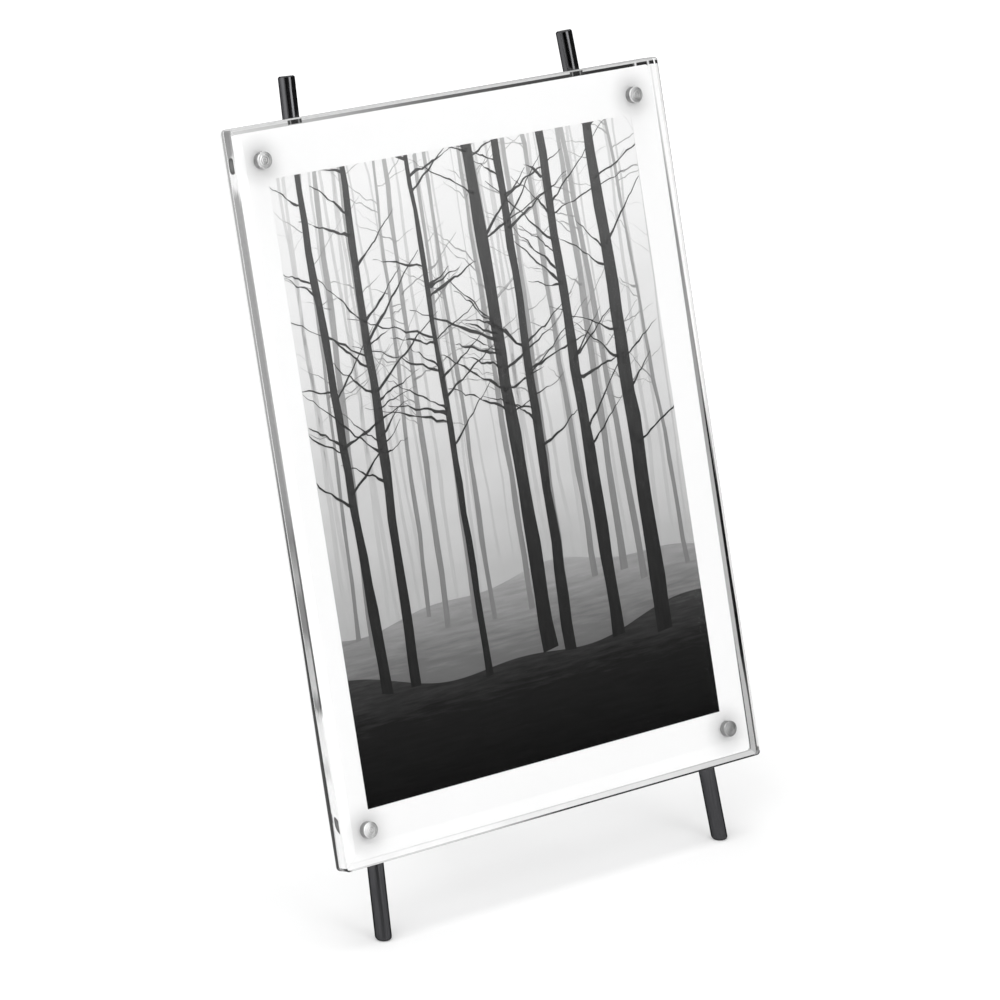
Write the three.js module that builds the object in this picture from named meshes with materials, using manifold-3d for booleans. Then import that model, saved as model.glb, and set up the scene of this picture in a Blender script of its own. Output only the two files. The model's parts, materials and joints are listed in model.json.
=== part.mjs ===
// A table-top photo frame: two clear acrylic panels hold a printed sheet between them by four pairs of
// disc magnets, and a metal easel with two splayed front legs and a folding rear leg carries them.
// Millimetres, +Z up, front towards -Y. The origin is the middle of the footprint, on the table.

import * as THREE from 'three';
import { mergeVertices } from 'three/addons/utils/BufferGeometryUtils.js';
import Module from 'manifold-3d';

const manifoldLibrary = await Module();
manifoldLibrary.setup();

// Panels and sheet. The sheet stack counts from the legs forwards.
const panelWidth = 151;
const panelHeight = 209.5;
const panelCornerRadius = 1.2;
const panelEdgeBevel = 0.35;
const frontPanelThickness = 3.2;
const rearPanelThickness = 1.6;
const sheetThickness = 0.3;
const sheetInset = 2;
const sheetGap = 0.1;

// Magnets, pressed into both panels near their corners.
const magnetDiameter = 4.76;
const magnetInset = 10;
const magnetProud = 0.3;
const magnetChamfer = 0.3;
const pressGap = 0.1;

// Front legs. The lean tips the panels back, and the splay spreads the feet.
const leanAngle = THREE.MathUtils.degToRad(14.5);
const splayAngle = THREE.MathUtils.degToRad(3);
const legDiameter = 4.8;
const footInset = 13.8;
const panelAboveFeet = 23;
const legAbovePanel = 11.7;
const legTopChamfer = 0.4;
const footRounding = 1;
const seatGap = 0.3;

// Countersunk screws, which hold the rear panel on the front legs.
const screwDiameter = 2;
const screwHeadDiameter = 3.8;
const screwHeadSink = 0.1;
const screwBite = 2.8;
const screwDrillAllowance = 0.5;
const screwSocketWidth = 1.3;
const screwSocketDepth = 0.7;
const screwFromPanelEdge = 28;

// Crossbar, hinge knuckle, stop collars and rear leg.
const crossbarDiameter = 4;
const crossbarHeight = 150;
const crossbarOverhang = 2.5;
const crossbarChamfer = 0.4;
const runningGap = 0.1;
const knuckleDiameter = 9;
const knuckleLength = 20;
const knuckleChamfer = 0.5;
const neckDiameter = 8;
const neckLength = 16;
const socketFloor = 4.6;
const collarLength = 5;
const collarEndGap = 0.3;
const lugAngle = THREE.MathUtils.degToRad(30);
const lugLength = 2;
const lugStandoff = 0.4;
const stopGap = 0.12;
const rearFootDepth = 75;

// Fineness of the round forms.
const roundSides = 40;
const barSides = 36;
const cornerSteps = 6;
const roundingSteps = 4;
const cutterOverrun = 1;

// Places across the stack, along the stand's own Y, which points to the back.
const legRadius = legDiameter / 2;
const rearPanelBack = -(legRadius + seatGap);
const rearPanelFront = rearPanelBack - rearPanelThickness;
const sheetBack = rearPanelFront - sheetGap;
const sheetFront = sheetBack - sheetThickness;
const frontPanelBack = sheetFront - sheetGap;

// Places up the slope of the stand, from the line where the leg axes meet the table.
const panelMiddle = panelAboveFeet + panelHeight / 2;
const footX = panelWidth / 2 - footInset;
const legLength = (panelAboveFeet + panelHeight + legAbovePanel) / Math.cos(splayAngle);
const screwHeights = [panelAboveFeet + screwFromPanelEdge, panelAboveFeet + panelHeight - screwFromPanelEdge];
const crossbarBack = legRadius + seatGap + crossbarDiameter / 2;

const acrylic = { color: 0xeef4f5, roughness: 0.04, metalness: 0, transparent: true, opacity: 0.28 };
const paper = { color: 0xf4f4f2, roughness: 0.7, metalness: 0 };
const nickel = { color: 0xc4c5c6, roughness: 0.22, metalness: 1 };
const blackNickel = { color: 0x2b2b2d, roughness: 0.2, metalness: 0.9 };
const steel = { color: 0x9a9b9d, roughness: 0.32, metalness: 1 };

function namedMesh(name, geometry, finish) {
  const mesh = new THREE.Mesh(geometry, new THREE.MeshStandardMaterial(finish));
  mesh.name = name;
  return mesh;
}

// Joining and cutting

function solidOf(geometry) {
  const bare = geometry.clone();
  bare.deleteAttribute('normal');
  bare.deleteAttribute('uv');
  const merged = mergeVertices(bare, 1e-4);
  return new manifoldLibrary.Manifold(new manifoldLibrary.Mesh({
    numProp: 3,
    vertProperties: new Float32Array(merged.attributes.position.array),
    triVerts: new Uint32Array(merged.index.array),
  }));
}

function geometryOf(solid) {
  const mesh = solid.getMesh();
  const geometry = new THREE.BufferGeometry();
  geometry.setAttribute('position', new THREE.BufferAttribute(new Float32Array(mesh.vertProperties), 3));
  geometry.setIndex(new THREE.BufferAttribute(new Uint32Array(mesh.triVerts), 1));
  geometry.computeVertexNormals();
  return geometry;
}

function cut(body, cutters) {
  return geometryOf(cutters.reduce((rest, cutter) => rest.subtract(solidOf(cutter)), solidOf(body)));
}

// Basic forms

// A form turned about +Y from [radius, y] points with rising y, which start and end on the axis.
function turned(points, sides = roundSides) {
  return new THREE.LatheGeometry(points.map(([radius, y]) => new THREE.Vector2(radius, y)), sides);
}

function chamferedRod(radius, length, chamfer) {
  return turned([
    [0, -length / 2],
    [radius - chamfer, -length / 2],
    [radius, -length / 2 + chamfer],
    [radius, length / 2 - chamfer],
    [radius - chamfer, length / 2],
    [0, length / 2],
  ]);
}

function plainRod(radius, length) {
  return turned([[0, -length / 2], [radius, -length / 2], [radius, length / 2], [0, length / 2]]);
}

function alongX(geometry) {
  return geometry.rotateZ(-Math.PI / 2);
}

function alongZ(geometry) {
  return geometry.rotateX(Math.PI / 2);
}

// A closed skin over rings of points, which turn anticlockwise seen from the last ring.
function loft(rings) {
  const sides = rings[0].length;
  const positions = rings.flat().flatMap((point) => point.toArray());
  const triangles = [];
  const corner = (ring, side) => ring * sides + (side % sides);
  for (let ring = 0; ring + 1 < rings.length; ring += 1) {
    for (let side = 0; side < sides; side += 1) {
      triangles.push(corner(ring, side), corner(ring, side + 1), corner(ring + 1, side + 1));
      triangles.push(corner(ring, side), corner(ring + 1, side + 1), corner(ring + 1, side));
    }
  }
  const last = rings.length - 1;
  for (let side = 1; side + 1 < sides; side += 1) {
    triangles.push(corner(0, 0), corner(0, side + 1), corner(0, side));
    triangles.push(corner(last, 0), corner(last, side), corner(last, side + 1));
  }
  const geometry = new THREE.BufferGeometry();
  geometry.setAttribute('position', new THREE.Float32BufferAttribute(positions, 3));
  geometry.setIndex(triangles);
  geometry.computeVertexNormals();
  return geometry;
}

// A round bar standing along +Z whose foot is cut level with the table, given the table's upward normal
// in the bar's own frame. Its axis meets the table at the origin, and the rim of the foot is rounded.
function footedBar(length, tableNormal) {
  const ring = (radius, heightAt) => Array.from({ length: barSides }, (_, side) => {
    const angle = (2 * Math.PI * side) / barSides;
    const x = radius * Math.cos(angle);
    const y = radius * Math.sin(angle);
    return new THREE.Vector3(x, y, heightAt(x, y));
  });
  const aboveTable = (height) => (x, y) => (height - tableNormal.x * x - tableNormal.y * y) / tableNormal.z;
  const rings = [];
  for (let step = 0; step <= roundingSteps; step += 1) {
    const turn = (step / roundingSteps) * (Math.PI / 2);
    const radius = legRadius - footRounding * (1 - Math.sin(turn));
    rings.push(ring(radius, aboveTable(footRounding * (1 - Math.cos(turn)))));
  }
  rings.push(ring(legRadius, () => length - legTopChamfer));
  rings.push(ring(legRadius - legTopChamfer, () => length));
  return loft(rings);
}

// A plate standing on its edge, centred in X and Z, with its back at Y = 0 and its front towards -Y.
function standingPlate(width, height, thickness, cornerRadius, bevel) {
  const right = width / 2 - cornerRadius;
  const top = height / 2 - cornerRadius;
  const outline = new THREE.Shape();
  outline.absarc(right, top, cornerRadius, 0, Math.PI / 2);
  outline.absarc(-right, top, cornerRadius, Math.PI / 2, Math.PI);
  outline.absarc(-right, -top, cornerRadius, Math.PI, 1.5 * Math.PI);
  outline.absarc(right, -top, cornerRadius, 1.5 * Math.PI, 2 * Math.PI);
  const plate = new THREE.ExtrudeGeometry(outline, {
    depth: thickness - 2 * bevel,
    bevelEnabled: bevel > 0,
    bevelThickness: bevel,
    bevelSize: bevel,
    bevelOffset: -bevel,
    bevelSegments: 1,
    curveSegments: cornerSteps,
  });
  return plate.translate(0, 0, bevel).rotateX(Math.PI / 2);
}

// Panels, sheet and magnets

const magnetPlaces = [
  { corner: 'top_left', x: -1, z: 1 },
  { corner: 'top_right', x: 1, z: 1 },
  { corner: 'bottom_left', x: -1, z: -1 },
  { corner: 'bottom_right', x: 1, z: -1 },
].map(({ corner, x, z }) => ({
  corner,
  x: x * (panelWidth / 2 - magnetInset),
  z: z * (panelHeight / 2 - magnetInset),
}));

function magnetHole(place, thickness) {
  const length = thickness + 2 * cutterOverrun;
  return plainRod(magnetDiameter / 2 + pressGap, length).translate(place.x, -thickness / 2, place.z);
}

// A disc magnet along Y, with its back at Y = 0 and the chamfer round its front face.
function discMagnet(length) {
  const radius = magnetDiameter / 2;
  return turned([
    [0, -length],
    [radius - magnetChamfer, -length],
    [radius, -length + magnetChamfer],
    [radius, 0],
    [0, 0],
  ]);
}

function frontPanel() {
  const plate = standingPlate(panelWidth, panelHeight, frontPanelThickness, panelCornerRadius, panelEdgeBevel);
  const holes = magnetPlaces.map((place) => magnetHole(place, frontPanelThickness));
  return namedMesh('front_panel', cut(plate, holes), acrylic);
}

function rearPanel() {
  const plate = standingPlate(panelWidth, panelHeight, rearPanelThickness, panelCornerRadius, panelEdgeBevel);
  const magnetHoles = magnetPlaces.map((place) => magnetHole(place, rearPanelThickness));
  const screwHoles = screwPlaces().map((place) => (
    screwForm(pressGap, cutterOverrun).translate(place.x, -rearPanelThickness, place.height - panelMiddle)
  ));
  return namedMesh('rear_panel', cut(plate, [...magnetHoles, ...screwHoles]), acrylic);
}

function photoSheet() {
  const width = panelWidth - 2 * sheetInset;
  const height = panelHeight - 2 * sheetInset;
  const sheet = standingPlate(width, height, sheetThickness, panelCornerRadius, 0);
  return namedMesh('photo_sheet', sheet, paper);
}

function panelStack() {
  const stack = new THREE.Group();
  const layers = [
    [frontPanel(), frontPanelBack],
    [photoSheet(), sheetBack],
    [rearPanel(), rearPanelBack],
  ];
  for (const [layer, y] of layers) {
    layer.position.y = y;
    stack.add(layer);
  }
  for (const { corner, x, z } of magnetPlaces) {
    const front = namedMesh(`magnet_front_${corner}`, discMagnet(frontPanelThickness + magnetProud), nickel);
    front.position.set(x, frontPanelBack, z);
    const rear = namedMesh(`magnet_rear_${corner}`, discMagnet(rearPanelThickness), nickel);
    rear.position.set(x, rearPanelBack, z);
    stack.add(front, rear);
  }
  stack.position.z = panelMiddle;
  return stack;
}

// Screws

const legSides = [{ side: 'left', sign: -1 }, { side: 'right', sign: 1 }];

function screwPlaces() {
  return legSides.flatMap(({ side, sign }) => screwHeights.map((height, row) => ({
    name: `screw_${row === 0 ? 'lower' : 'upper'}_${side}`,
    x: sign * (footX - height * Math.tan(splayAngle)),
    height,
  })));
}

// A countersunk screw along Y with its head's face at Y = screwHeadSink and its tip towards the leg.
// With an allowance it is the hole for that screw, open past the panel's face by the overrun.
function screwForm(allowance, overrun) {
  const headRadius = screwHeadDiameter / 2 + allowance;
  const shankRadius = screwDiameter / 2 + allowance;
  const coneEnd = screwHeadSink + headRadius - shankRadius;
  const tip = rearPanelThickness + seatGap + screwBite + (allowance > 0 ? screwDrillAllowance : 0);
  const rim = overrun > 0 ? [[0, -overrun], [headRadius, -overrun]] : [[0, screwHeadSink]];
  return turned([...rim, [headRadius, screwHeadSink], [shankRadius, coneEnd], [shankRadius, tip], [0, tip]]);
}

function screws() {
  const socket = new THREE.CylinderGeometry(
    screwSocketWidth / Math.sqrt(3), screwSocketWidth / Math.sqrt(3), 2 * screwSocketDepth, 6,
  ).translate(0, screwHeadSink, 0);
  return screwPlaces().map(({ name, x, height }) => {
    const screw = namedMesh(name, cut(screwForm(0, 0), [socket]), steel);
    screw.position.set(x, rearPanelFront, height);
    return screw;
  });
}

// Front legs and crossbar

function frontLeg({ side, sign }, standTurn) {
  const legTurn = new THREE.Quaternion().setFromAxisAngle(new THREE.Vector3(0, 1, 0), -sign * splayAngle);
  const tableNormal = new THREE.Vector3(0, 0, 1).applyQuaternion(standTurn.clone().multiply(legTurn).invert());
  const drillings = screwHeights.map((height) => (
    screwForm(pressGap, 0).translate(0, rearPanelFront, height / Math.cos(splayAngle))
  ));
  const leg = namedMesh(`leg_${side}`, cut(footedBar(legLength, tableNormal), drillings), blackNickel);
  leg.quaternion.copy(legTurn);
  leg.position.x = sign * footX;
  return leg;
}

function crossbar() {
  const legX = footX - crossbarHeight * Math.tan(splayAngle);
  const length = 2 * (legX + legRadius + crossbarOverhang);
  const bar = namedMesh('crossbar', alongX(chamferedRod(crossbarDiameter / 2, length, crossbarChamfer)), blackNickel);
  bar.position.set(0, crossbarBack, crossbarHeight);
  return bar;
}

// Folding rear leg, about the crossbar. Its group stands at the crossbar's axis, with the leg along -Z.

function sector(innerRadius, outerRadius, startAngle, endAngle, length) {
  const outline = new THREE.Shape();
  outline.absarc(0, 0, outerRadius, startAngle, endAngle, false);
  outline.absarc(0, 0, innerRadius, endAngle, startAngle, true);
  const block = new THREE.ExtrudeGeometry(outline, { depth: length, bevelEnabled: false, curveSegments: cornerSteps });
  const shapeToSide = new THREE.Matrix4().makeBasis(
    new THREE.Vector3(0, 1, 0), new THREE.Vector3(0, 0, 1), new THREE.Vector3(1, 0, 0),
  );
  return block.applyMatrix4(shapeToSide);
}

const lugStart = Math.PI / 2 - lugAngle / 2;
const lugEnd = Math.PI / 2 + lugAngle / 2;

// The notches in both ends of the knuckle let the collars' lugs stop the leg when open and when folded.
function hingeKnuckle(foldAngle) {
  const barrel = solidOf(alongX(chamferedRod(knuckleDiameter / 2, knuckleLength, knuckleChamfer)));
  const neck = solidOf(alongZ(chamferedRod(neckDiameter / 2, neckLength, knuckleChamfer))
    .translate(0, 0, -neckLength / 2));
  const bore = alongX(plainRod(crossbarDiameter / 2 + runningGap, knuckleLength + 2 * cutterOverrun));
  const socketDepth = neckLength - socketFloor + cutterOverrun;
  const socket = alongZ(plainRod(legRadius + pressGap, socketDepth))
    .translate(0, 0, -socketFloor - socketDepth / 2);
  const playAngle = stopGap / (knuckleDiameter / 2);
  const notchDepth = lugLength - collarEndGap + lugStandoff;
  const notchAt = (x) => sector(
    crossbarDiameter / 2, knuckleDiameter / 2 + cutterOverrun,
    lugStart - playAngle, lugEnd + foldAngle + playAngle, notchDepth + cutterOverrun,
  ).translate(x, 0, 0);
  const notches = [
    notchAt(knuckleLength / 2 - notchDepth),
    notchAt(-knuckleLength / 2 - cutterOverrun),
  ];
  return namedMesh('hinge_knuckle', cut(geometryOf(barrel.add(neck)), [bore, socket, ...notches]), blackNickel);
}

function rearLeg(hingeHeight, openTurn) {
  const openAngle = 2 * Math.acos(openTurn.w);
  const tableNormal = new THREE.Vector3(0, 0, 1).applyQuaternion(openTurn.clone().invert());
  const footDrop = hingeHeight / Math.cos(openAngle);
  const length = footDrop - socketFloor - seatGap;
  const leg = namedMesh('leg_rear', footedBar(length, tableNormal), blackNickel);
  leg.position.z = -footDrop;
  return leg;
}

// A collar fixed on the crossbar beside the knuckle, with a lug that reaches into the knuckle's notch.
function stopCollar({ side, sign }) {
  const ring = solidOf(alongX(chamferedRod(knuckleDiameter / 2, collarLength, knuckleChamfer)));
  const lug = sector(
    crossbarDiameter / 2 + lugStandoff, knuckleDiameter / 2 - knuckleChamfer, lugStart, lugEnd,
    lugLength + collarLength / 2,
  );
  const lugAtKnuckle = sign > 0 ? lug.translate(-lugLength - collarLength / 2, 0, 0) : lug;
  const bore = alongX(plainRod(crossbarDiameter / 2 + pressGap, collarLength + 2 * (lugLength + cutterOverrun)));
  const collar = namedMesh(`collar_${side}`, cut(geometryOf(ring.add(solidOf(lugAtKnuckle))), [bore]), blackNickel);
  collar.position.x = sign * (knuckleLength / 2 + collarEndGap + collarLength / 2);
  return collar;
}

function easelFrame() {
  const standTurn = new THREE.Quaternion().setFromAxisAngle(new THREE.Vector3(1, 0, 0), -leanAngle);
  const stand = new THREE.Group();
  stand.quaternion.copy(standTurn);
  stand.add(panelStack(), ...screws(), ...legSides.map((leg) => frontLeg(leg, standTurn)), crossbar());

  const hinge = new THREE.Vector3(0, crossbarBack, crossbarHeight).applyQuaternion(standTurn);
  const openAngle = Math.atan2(rearFootDepth - hinge.y, hinge.z);
  const openTurn = new THREE.Quaternion().setFromAxisAngle(new THREE.Vector3(1, 0, 0), openAngle);
  const folding = new THREE.Group();
  folding.position.copy(hinge);
  folding.quaternion.copy(openTurn);
  folding.add(hingeKnuckle(openAngle + leanAngle), rearLeg(hinge.z, openTurn), ...legSides.map(stopCollar));

  const easel = new THREE.Group();
  easel.add(stand, folding);
  return easel;
}

// The finished frame, moved so that the middle of its footprint is at the origin

const frame = new THREE.Group();
const easel = easelFrame();
frame.add(easel);
const footprint = new THREE.Box3().setFromObject(frame, true).getCenter(new THREE.Vector3());
easel.position.y = -footprint.y;
frame.updateMatrixWorld(true);

export default frame;
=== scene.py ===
# A table-top photo frame: a black and white print between two clear acrylic panels, held by four pairs
# of nickel plated disc magnets, on an easel of black nickel plated rod with a folding rear leg.
import json
import math

import bmesh
import bpy
from mathutils import Matrix, Vector


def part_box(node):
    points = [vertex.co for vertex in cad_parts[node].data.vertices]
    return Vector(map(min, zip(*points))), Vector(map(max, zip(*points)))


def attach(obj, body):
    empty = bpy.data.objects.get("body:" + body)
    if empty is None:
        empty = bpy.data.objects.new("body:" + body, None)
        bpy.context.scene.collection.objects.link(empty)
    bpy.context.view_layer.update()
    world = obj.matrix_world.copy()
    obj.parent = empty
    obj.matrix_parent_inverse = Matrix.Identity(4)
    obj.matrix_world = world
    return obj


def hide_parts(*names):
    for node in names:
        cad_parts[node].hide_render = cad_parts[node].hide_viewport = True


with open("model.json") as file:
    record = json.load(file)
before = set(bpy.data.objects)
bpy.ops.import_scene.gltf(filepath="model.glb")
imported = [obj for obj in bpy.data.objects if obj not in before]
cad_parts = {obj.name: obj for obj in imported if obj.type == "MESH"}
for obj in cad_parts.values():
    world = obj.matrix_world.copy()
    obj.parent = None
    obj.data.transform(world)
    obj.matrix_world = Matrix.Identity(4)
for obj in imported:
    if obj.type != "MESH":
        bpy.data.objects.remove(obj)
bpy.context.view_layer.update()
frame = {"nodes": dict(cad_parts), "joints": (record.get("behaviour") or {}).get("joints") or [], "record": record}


# The camera stands to the left of the frame and a little above it, far off, so that the panels keep
# almost parallel edges. It looks at a point just under the middle of the front panel.
def leaning_axis(joint_name):
    """The direction of a joint of the frame, which leans as the panels do."""
    axes = {joint["name"]: Vector(joint["axis"]) for joint in frame["joints"]}
    return axes[joint_name].normalized()


def middle_of(node):
    """The middle of a node's box."""
    low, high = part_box(node)
    return (low + high) / 2


facing = leaning_axis("cover_pull")
slope_up = leaning_axis("print_slide")
view_azimuth = math.radians(-37.1)
view_elevation = math.radians(18.2)
view_distance = 1.314
aim_left, aim_down, aim_forward = 0.0017, 0.0129, 0.0016
view_back = Vector((
    math.sin(view_azimuth) * math.cos(view_elevation),
    -math.cos(view_azimuth) * math.cos(view_elevation),
    math.sin(view_elevation),
))
view_right = Vector((math.cos(view_azimuth), math.sin(view_azimuth), 0))
view_up = view_back.cross(view_right)
aim = middle_of("front_panel") + facing * aim_forward - view_right * aim_left - view_up * aim_down
camera_data = bpy.data.cameras.new("photographer")
camera_data.sensor_width = 36
camera_data.lens = 165.4
camera_data.clip_start = 0.05
camera_data.clip_end = 20
camera = bpy.data.objects.new("photographer", camera_data)
camera.matrix_world = Matrix.Translation(aim + view_back * view_distance) @ Matrix((
    (view_right.x, view_up.x, view_back.x),
    (view_right.y, view_up.y, view_back.y),
    (view_right.z, view_up.z, view_back.z),
)).to_4x4()
bpy.context.scene.collection.objects.link(camera)
bpy.context.scene.camera = camera
bpy.context.scene.view_settings.view_transform = "Standard"


# The studio is a white table under an even white sky. The camera and clear plastic see plain white.
# Metal sees a pale room that is dark behind the camera, with one soft box at the left and a strip at
# the right, which draw the long stripes along the rods.
def colour(code):
    """An sRGB hex colour, such as c8c9ca, as the linear values that Blender uses."""
    parts = [int(code[place:place + 2], 16) / 255 for place in (0, 2, 4)]
    return (*[part / 12.92 if part <= 0.04045 else ((part + 0.055) / 1.055) ** 2.4 for part in parts], 1)


def feed(tree, value, node, key):
    """Gives an input its value: a number, a hex colour, another node or one output of a node."""
    socket = node.inputs[key]
    if isinstance(value, bpy.types.Node):
        value = next(output for output in value.outputs if output.enabled)
    if isinstance(value, bpy.types.NodeSocket):
        tree.links.new(value, socket)
    else:
        socket.default_value = colour(value) if isinstance(value, str) else value


def add_node(tree, kind, *values, named=None, stops=(), **settings):
    """Adds a node with its settings. The values feed the inputs that are in use, in their order, and
    named ones feed inputs by name. stops are the (place, hex colour) pairs of a colour ramp."""
    made = tree.nodes.new(kind)
    for key, value in settings.items():
        setattr(made, key, value)
    for number, (place, code) in enumerate(stops):
        if number > 1:
            made.color_ramp.elements.new(1)
        made.color_ramp.elements[number].position = place
        made.color_ramp.elements[number].color = colour(code)
    in_use = [number for number, socket in enumerate(made.inputs) if socket.enabled]
    for key, value in [*zip(in_use, values), *(named or {}).items()]:
        feed(tree, value, made, key)
    return made


def empty_tree(owner):
    """The node tree of a material or of the world, cleared."""
    owner.use_nodes = True
    owner.node_tree.nodes.clear()
    return owner.node_tree


sky = bpy.data.worlds.new("white_sky")
bpy.context.scene.world = sky
sky_tree = empty_tree(sky)
sky_light, white, flag_level = 0.71, "ffffff", 0.5
path = add_node(sky_tree, "ShaderNodeLightPath").outputs
after_mirror = add_node(
    sky_tree, "ShaderNodeMath", path["Glossy Depth"], flag_level, operation="GREATER_THAN",
)
mirror_through = add_node(
    sky_tree, "ShaderNodeMath", path["Is Transmission Ray"], after_mirror, operation="MULTIPLY",
)
seen_in_mirror = add_node(
    sky_tree, "ShaderNodeMath", path["Is Glossy Ray"], mirror_through, operation="MAXIMUM",
)
unmirrored = add_node(
    sky_tree, "ShaderNodeMath", path["Is Transmission Ray"], after_mirror, operation="SUBTRACT",
)
seen_through = add_node(sky_tree, "ShaderNodeMath", unmirrored, flag_level, operation="GREATER_THAN")
seen_straight = add_node(
    sky_tree, "ShaderNodeMath", path["Is Camera Ray"], seen_through, operation="MAXIMUM",
)
direction = add_node(sky_tree, "ShaderNodeTexCoord").outputs["Generated"]
around = add_node(sky_tree, "ShaderNodeTexGradient", direction, gradient_type="RADIAL").outputs["Fac"]
walls = add_node(
    sky_tree, "ShaderNodeValToRGB", around,
    stops=(
        (0.0, "c4c4c4"), (0.07, "b4b4b4"), (0.095, "060606"), (0.225, "060606"), (0.25, "606060"),
        (0.34, "303030"), (0.48, "484848"), (0.56, "9a9a9a"), (0.8, "b8b8b8"), (1.0, "c4c4c4"),
    ),
)
wall_top, ceiling_start = 0.26, 0.42
ceiling_share = add_node(
    sky_tree, "ShaderNodeMapRange", add_node(sky_tree, "ShaderNodeSeparateXYZ", direction).outputs[2],
    wall_top, ceiling_start,
)
room_tones = add_node(sky_tree, "ShaderNodeMix", ceiling_share, walls, "d4d4d4", data_type="RGBA")
even_light = add_node(sky_tree, "ShaderNodeBackground", white, sky_light)
white_view = add_node(sky_tree, "ShaderNodeBackground", white, 1.0)
room_view = add_node(sky_tree, "ShaderNodeBackground", room_tones, 1.0)
room_or_light = add_node(sky_tree, "ShaderNodeMixShader", seen_in_mirror, even_light, room_view)
sky_mix = add_node(sky_tree, "ShaderNodeMixShader", seen_straight, room_or_light, white_view)
add_node(sky_tree, "ShaderNodeOutputWorld", sky_mix)

# The table is a matt white laminate, which keeps the soft shadow of the feet. It glows a little to the
# eye, the more the further it lies from the object, so that it fades into the white behind it.
table_top = bpy.data.materials.new("white_table_laminate")
table_tree = empty_tree(table_top)
table_path = add_node(table_tree, "ShaderNodeLightPath").outputs
table_seen = add_node(
    table_tree, "ShaderNodeMath", table_path["Is Camera Ray"], table_path["Is Transmission Ray"],
    operation="MAXIMUM",
)
table_place = add_node(table_tree, "ShaderNodeTexCoord").outputs["Object"]
from_object = add_node(table_tree, "ShaderNodeVectorMath", table_place, operation="LENGTH")
glow_near, glow_far = 0.17, 0.5
fade_start, fade_end = 0.1, 0.35
table_lift = add_node(
    table_tree, "ShaderNodeMapRange", from_object, fade_start, fade_end, glow_near, glow_far,
)
glow_strength = add_node(table_tree, "ShaderNodeMath", table_seen, table_lift, operation="MULTIPLY")
table_glow = add_node(table_tree, "ShaderNodeEmission", named={"Strength": glow_strength})
table_body = add_node(table_tree, "ShaderNodeBsdfDiffuse", "dcdcdc")
table_sum = add_node(table_tree, "ShaderNodeAddShader", table_body, table_glow)
add_node(table_tree, "ShaderNodeOutputMaterial", table_sum)

table_reach = 1.6
table_mesh = bpy.data.meshes.new("table")
table_corners = [(x * table_reach, y * table_reach, 0) for x, y in ((-1, -1), (1, -1), (1, 1), (-1, 1))]
table_mesh.from_pydata(table_corners, [], [(0, 1, 2, 3)])
table_mesh.materials.append(table_top)
table = bpy.data.objects.new("table", table_mesh)
bpy.context.scene.collection.objects.link(table)


def soft_box(name, azimuth, distance, centre_height, width, height, radiance, in_metal=True):
    """A lamp at an azimuth round the object, turned to it, of a brightness where white is 1. in_metal
    says whether polished metal mirrors it."""
    data = bpy.data.lights.new(name, "AREA")
    data.shape = "RECTANGLE"
    data.size = width
    data.size_y = height
    data.energy = radiance * math.pi * width * height
    lamp = bpy.data.objects.new(name, data)
    turn = math.radians(azimuth)
    lamp.location = (distance * math.sin(turn), -distance * math.cos(turn), centre_height)
    lamp.rotation_euler = (lamp.location - middle_of("photo_sheet")).to_track_quat("Z", "Y").to_euler()
    lamp.visible_glossy = in_metal
    bpy.context.scene.collection.objects.link(lamp)


soft_box("left_soft_box", azimuth=-100, distance=1.2, centre_height=0.7, width=1.3, height=1.3, radiance=0.7)
soft_box("right_strip_box", azimuth=9, distance=1.3, centre_height=0.55, width=0.6, height=1.0, radiance=2.4)
soft_box("top_soft_box", azimuth=-60, distance=1.5, centre_height=1.6, width=1.0, height=1.0, radiance=2.4)
soft_box(
    "overhead_soft_box", azimuth=180, distance=0.21, centre_height=1.4, width=0.5, height=0.5, radiance=8.0,
    in_metal=False,
)


# Everything that leans is drawn in the stand's own millimetres: X to the right, Y to the back and Z up
# the slope, from the line where the axes of the front legs meet the table.
rests = {mount["name"]: Vector(mount["pos_m"]) for mount in frame["record"]["mounts"]}
foot_line = (rests["foot_left"] + rests["foot_right"]) / 2
foot_x, splay = rests["foot_right"].x * 1000, math.radians(3)
lean_turn = Matrix(((1, 0, 0), (0, -facing.y, slope_up.y), (0, -facing.z, slope_up.z))).to_4x4()
stand = Matrix.Translation(foot_line) @ lean_turn @ Matrix.Scale(0.001, 4)
panel_width, panel_height, panel_above_feet = 151, 209.5, 23
front_thickness, rear_thickness, sheet_thickness, sheet_gap = 3.2, 1.6, 0.3, 0.1
leg_radius, seat_gap = 2.4, 0.3
rear_back = -(leg_radius + seat_gap)
sheet_back = rear_back - rear_thickness - sheet_gap
front_back = sheet_back - sheet_thickness - sheet_gap
panel_middle = panel_above_feet + panel_height / 2


def on_stand(tree):
    """Object coordinates in the stand's millimetres, from the middle of the panels."""
    place = add_node(tree, "ShaderNodeTexCoord").outputs["Object"]
    from_middle = stand @ Vector((0, 0, panel_middle))
    moved = add_node(tree, "ShaderNodeVectorMath", place, from_middle, operation="SUBTRACT")
    upright = lean_turn.to_3x3().inverted().to_euler()
    return add_node(
        tree, "ShaderNodeMapping", moved, named={"Rotation": upright, "Scale": (1000, 1000, 1000)},
        vector_type="POINT",
    )


def blotches(tree, place, sizes, detail=2.0, roughness=0.5):
    """Soft light and dark blotches with a size each way, long ones being streaks."""
    stretched = add_node(
        tree, "ShaderNodeVectorMath", place, [1 / size for size in sizes], operation="MULTIPLY",
    )
    return add_node(tree, "ShaderNodeTexNoise", stretched, 1.0, detail, roughness)


def swayed(tree, value, pattern, amount):
    """A value that a pattern, whose middle is a half, moves up and down."""
    return add_node(
        tree, "ShaderNodeMath", add_node(tree, "ShaderNodeMath", pattern, 0.5, operation="SUBTRACT"), amount,
        value, operation="MULTIPLY_ADD",
    )


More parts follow.
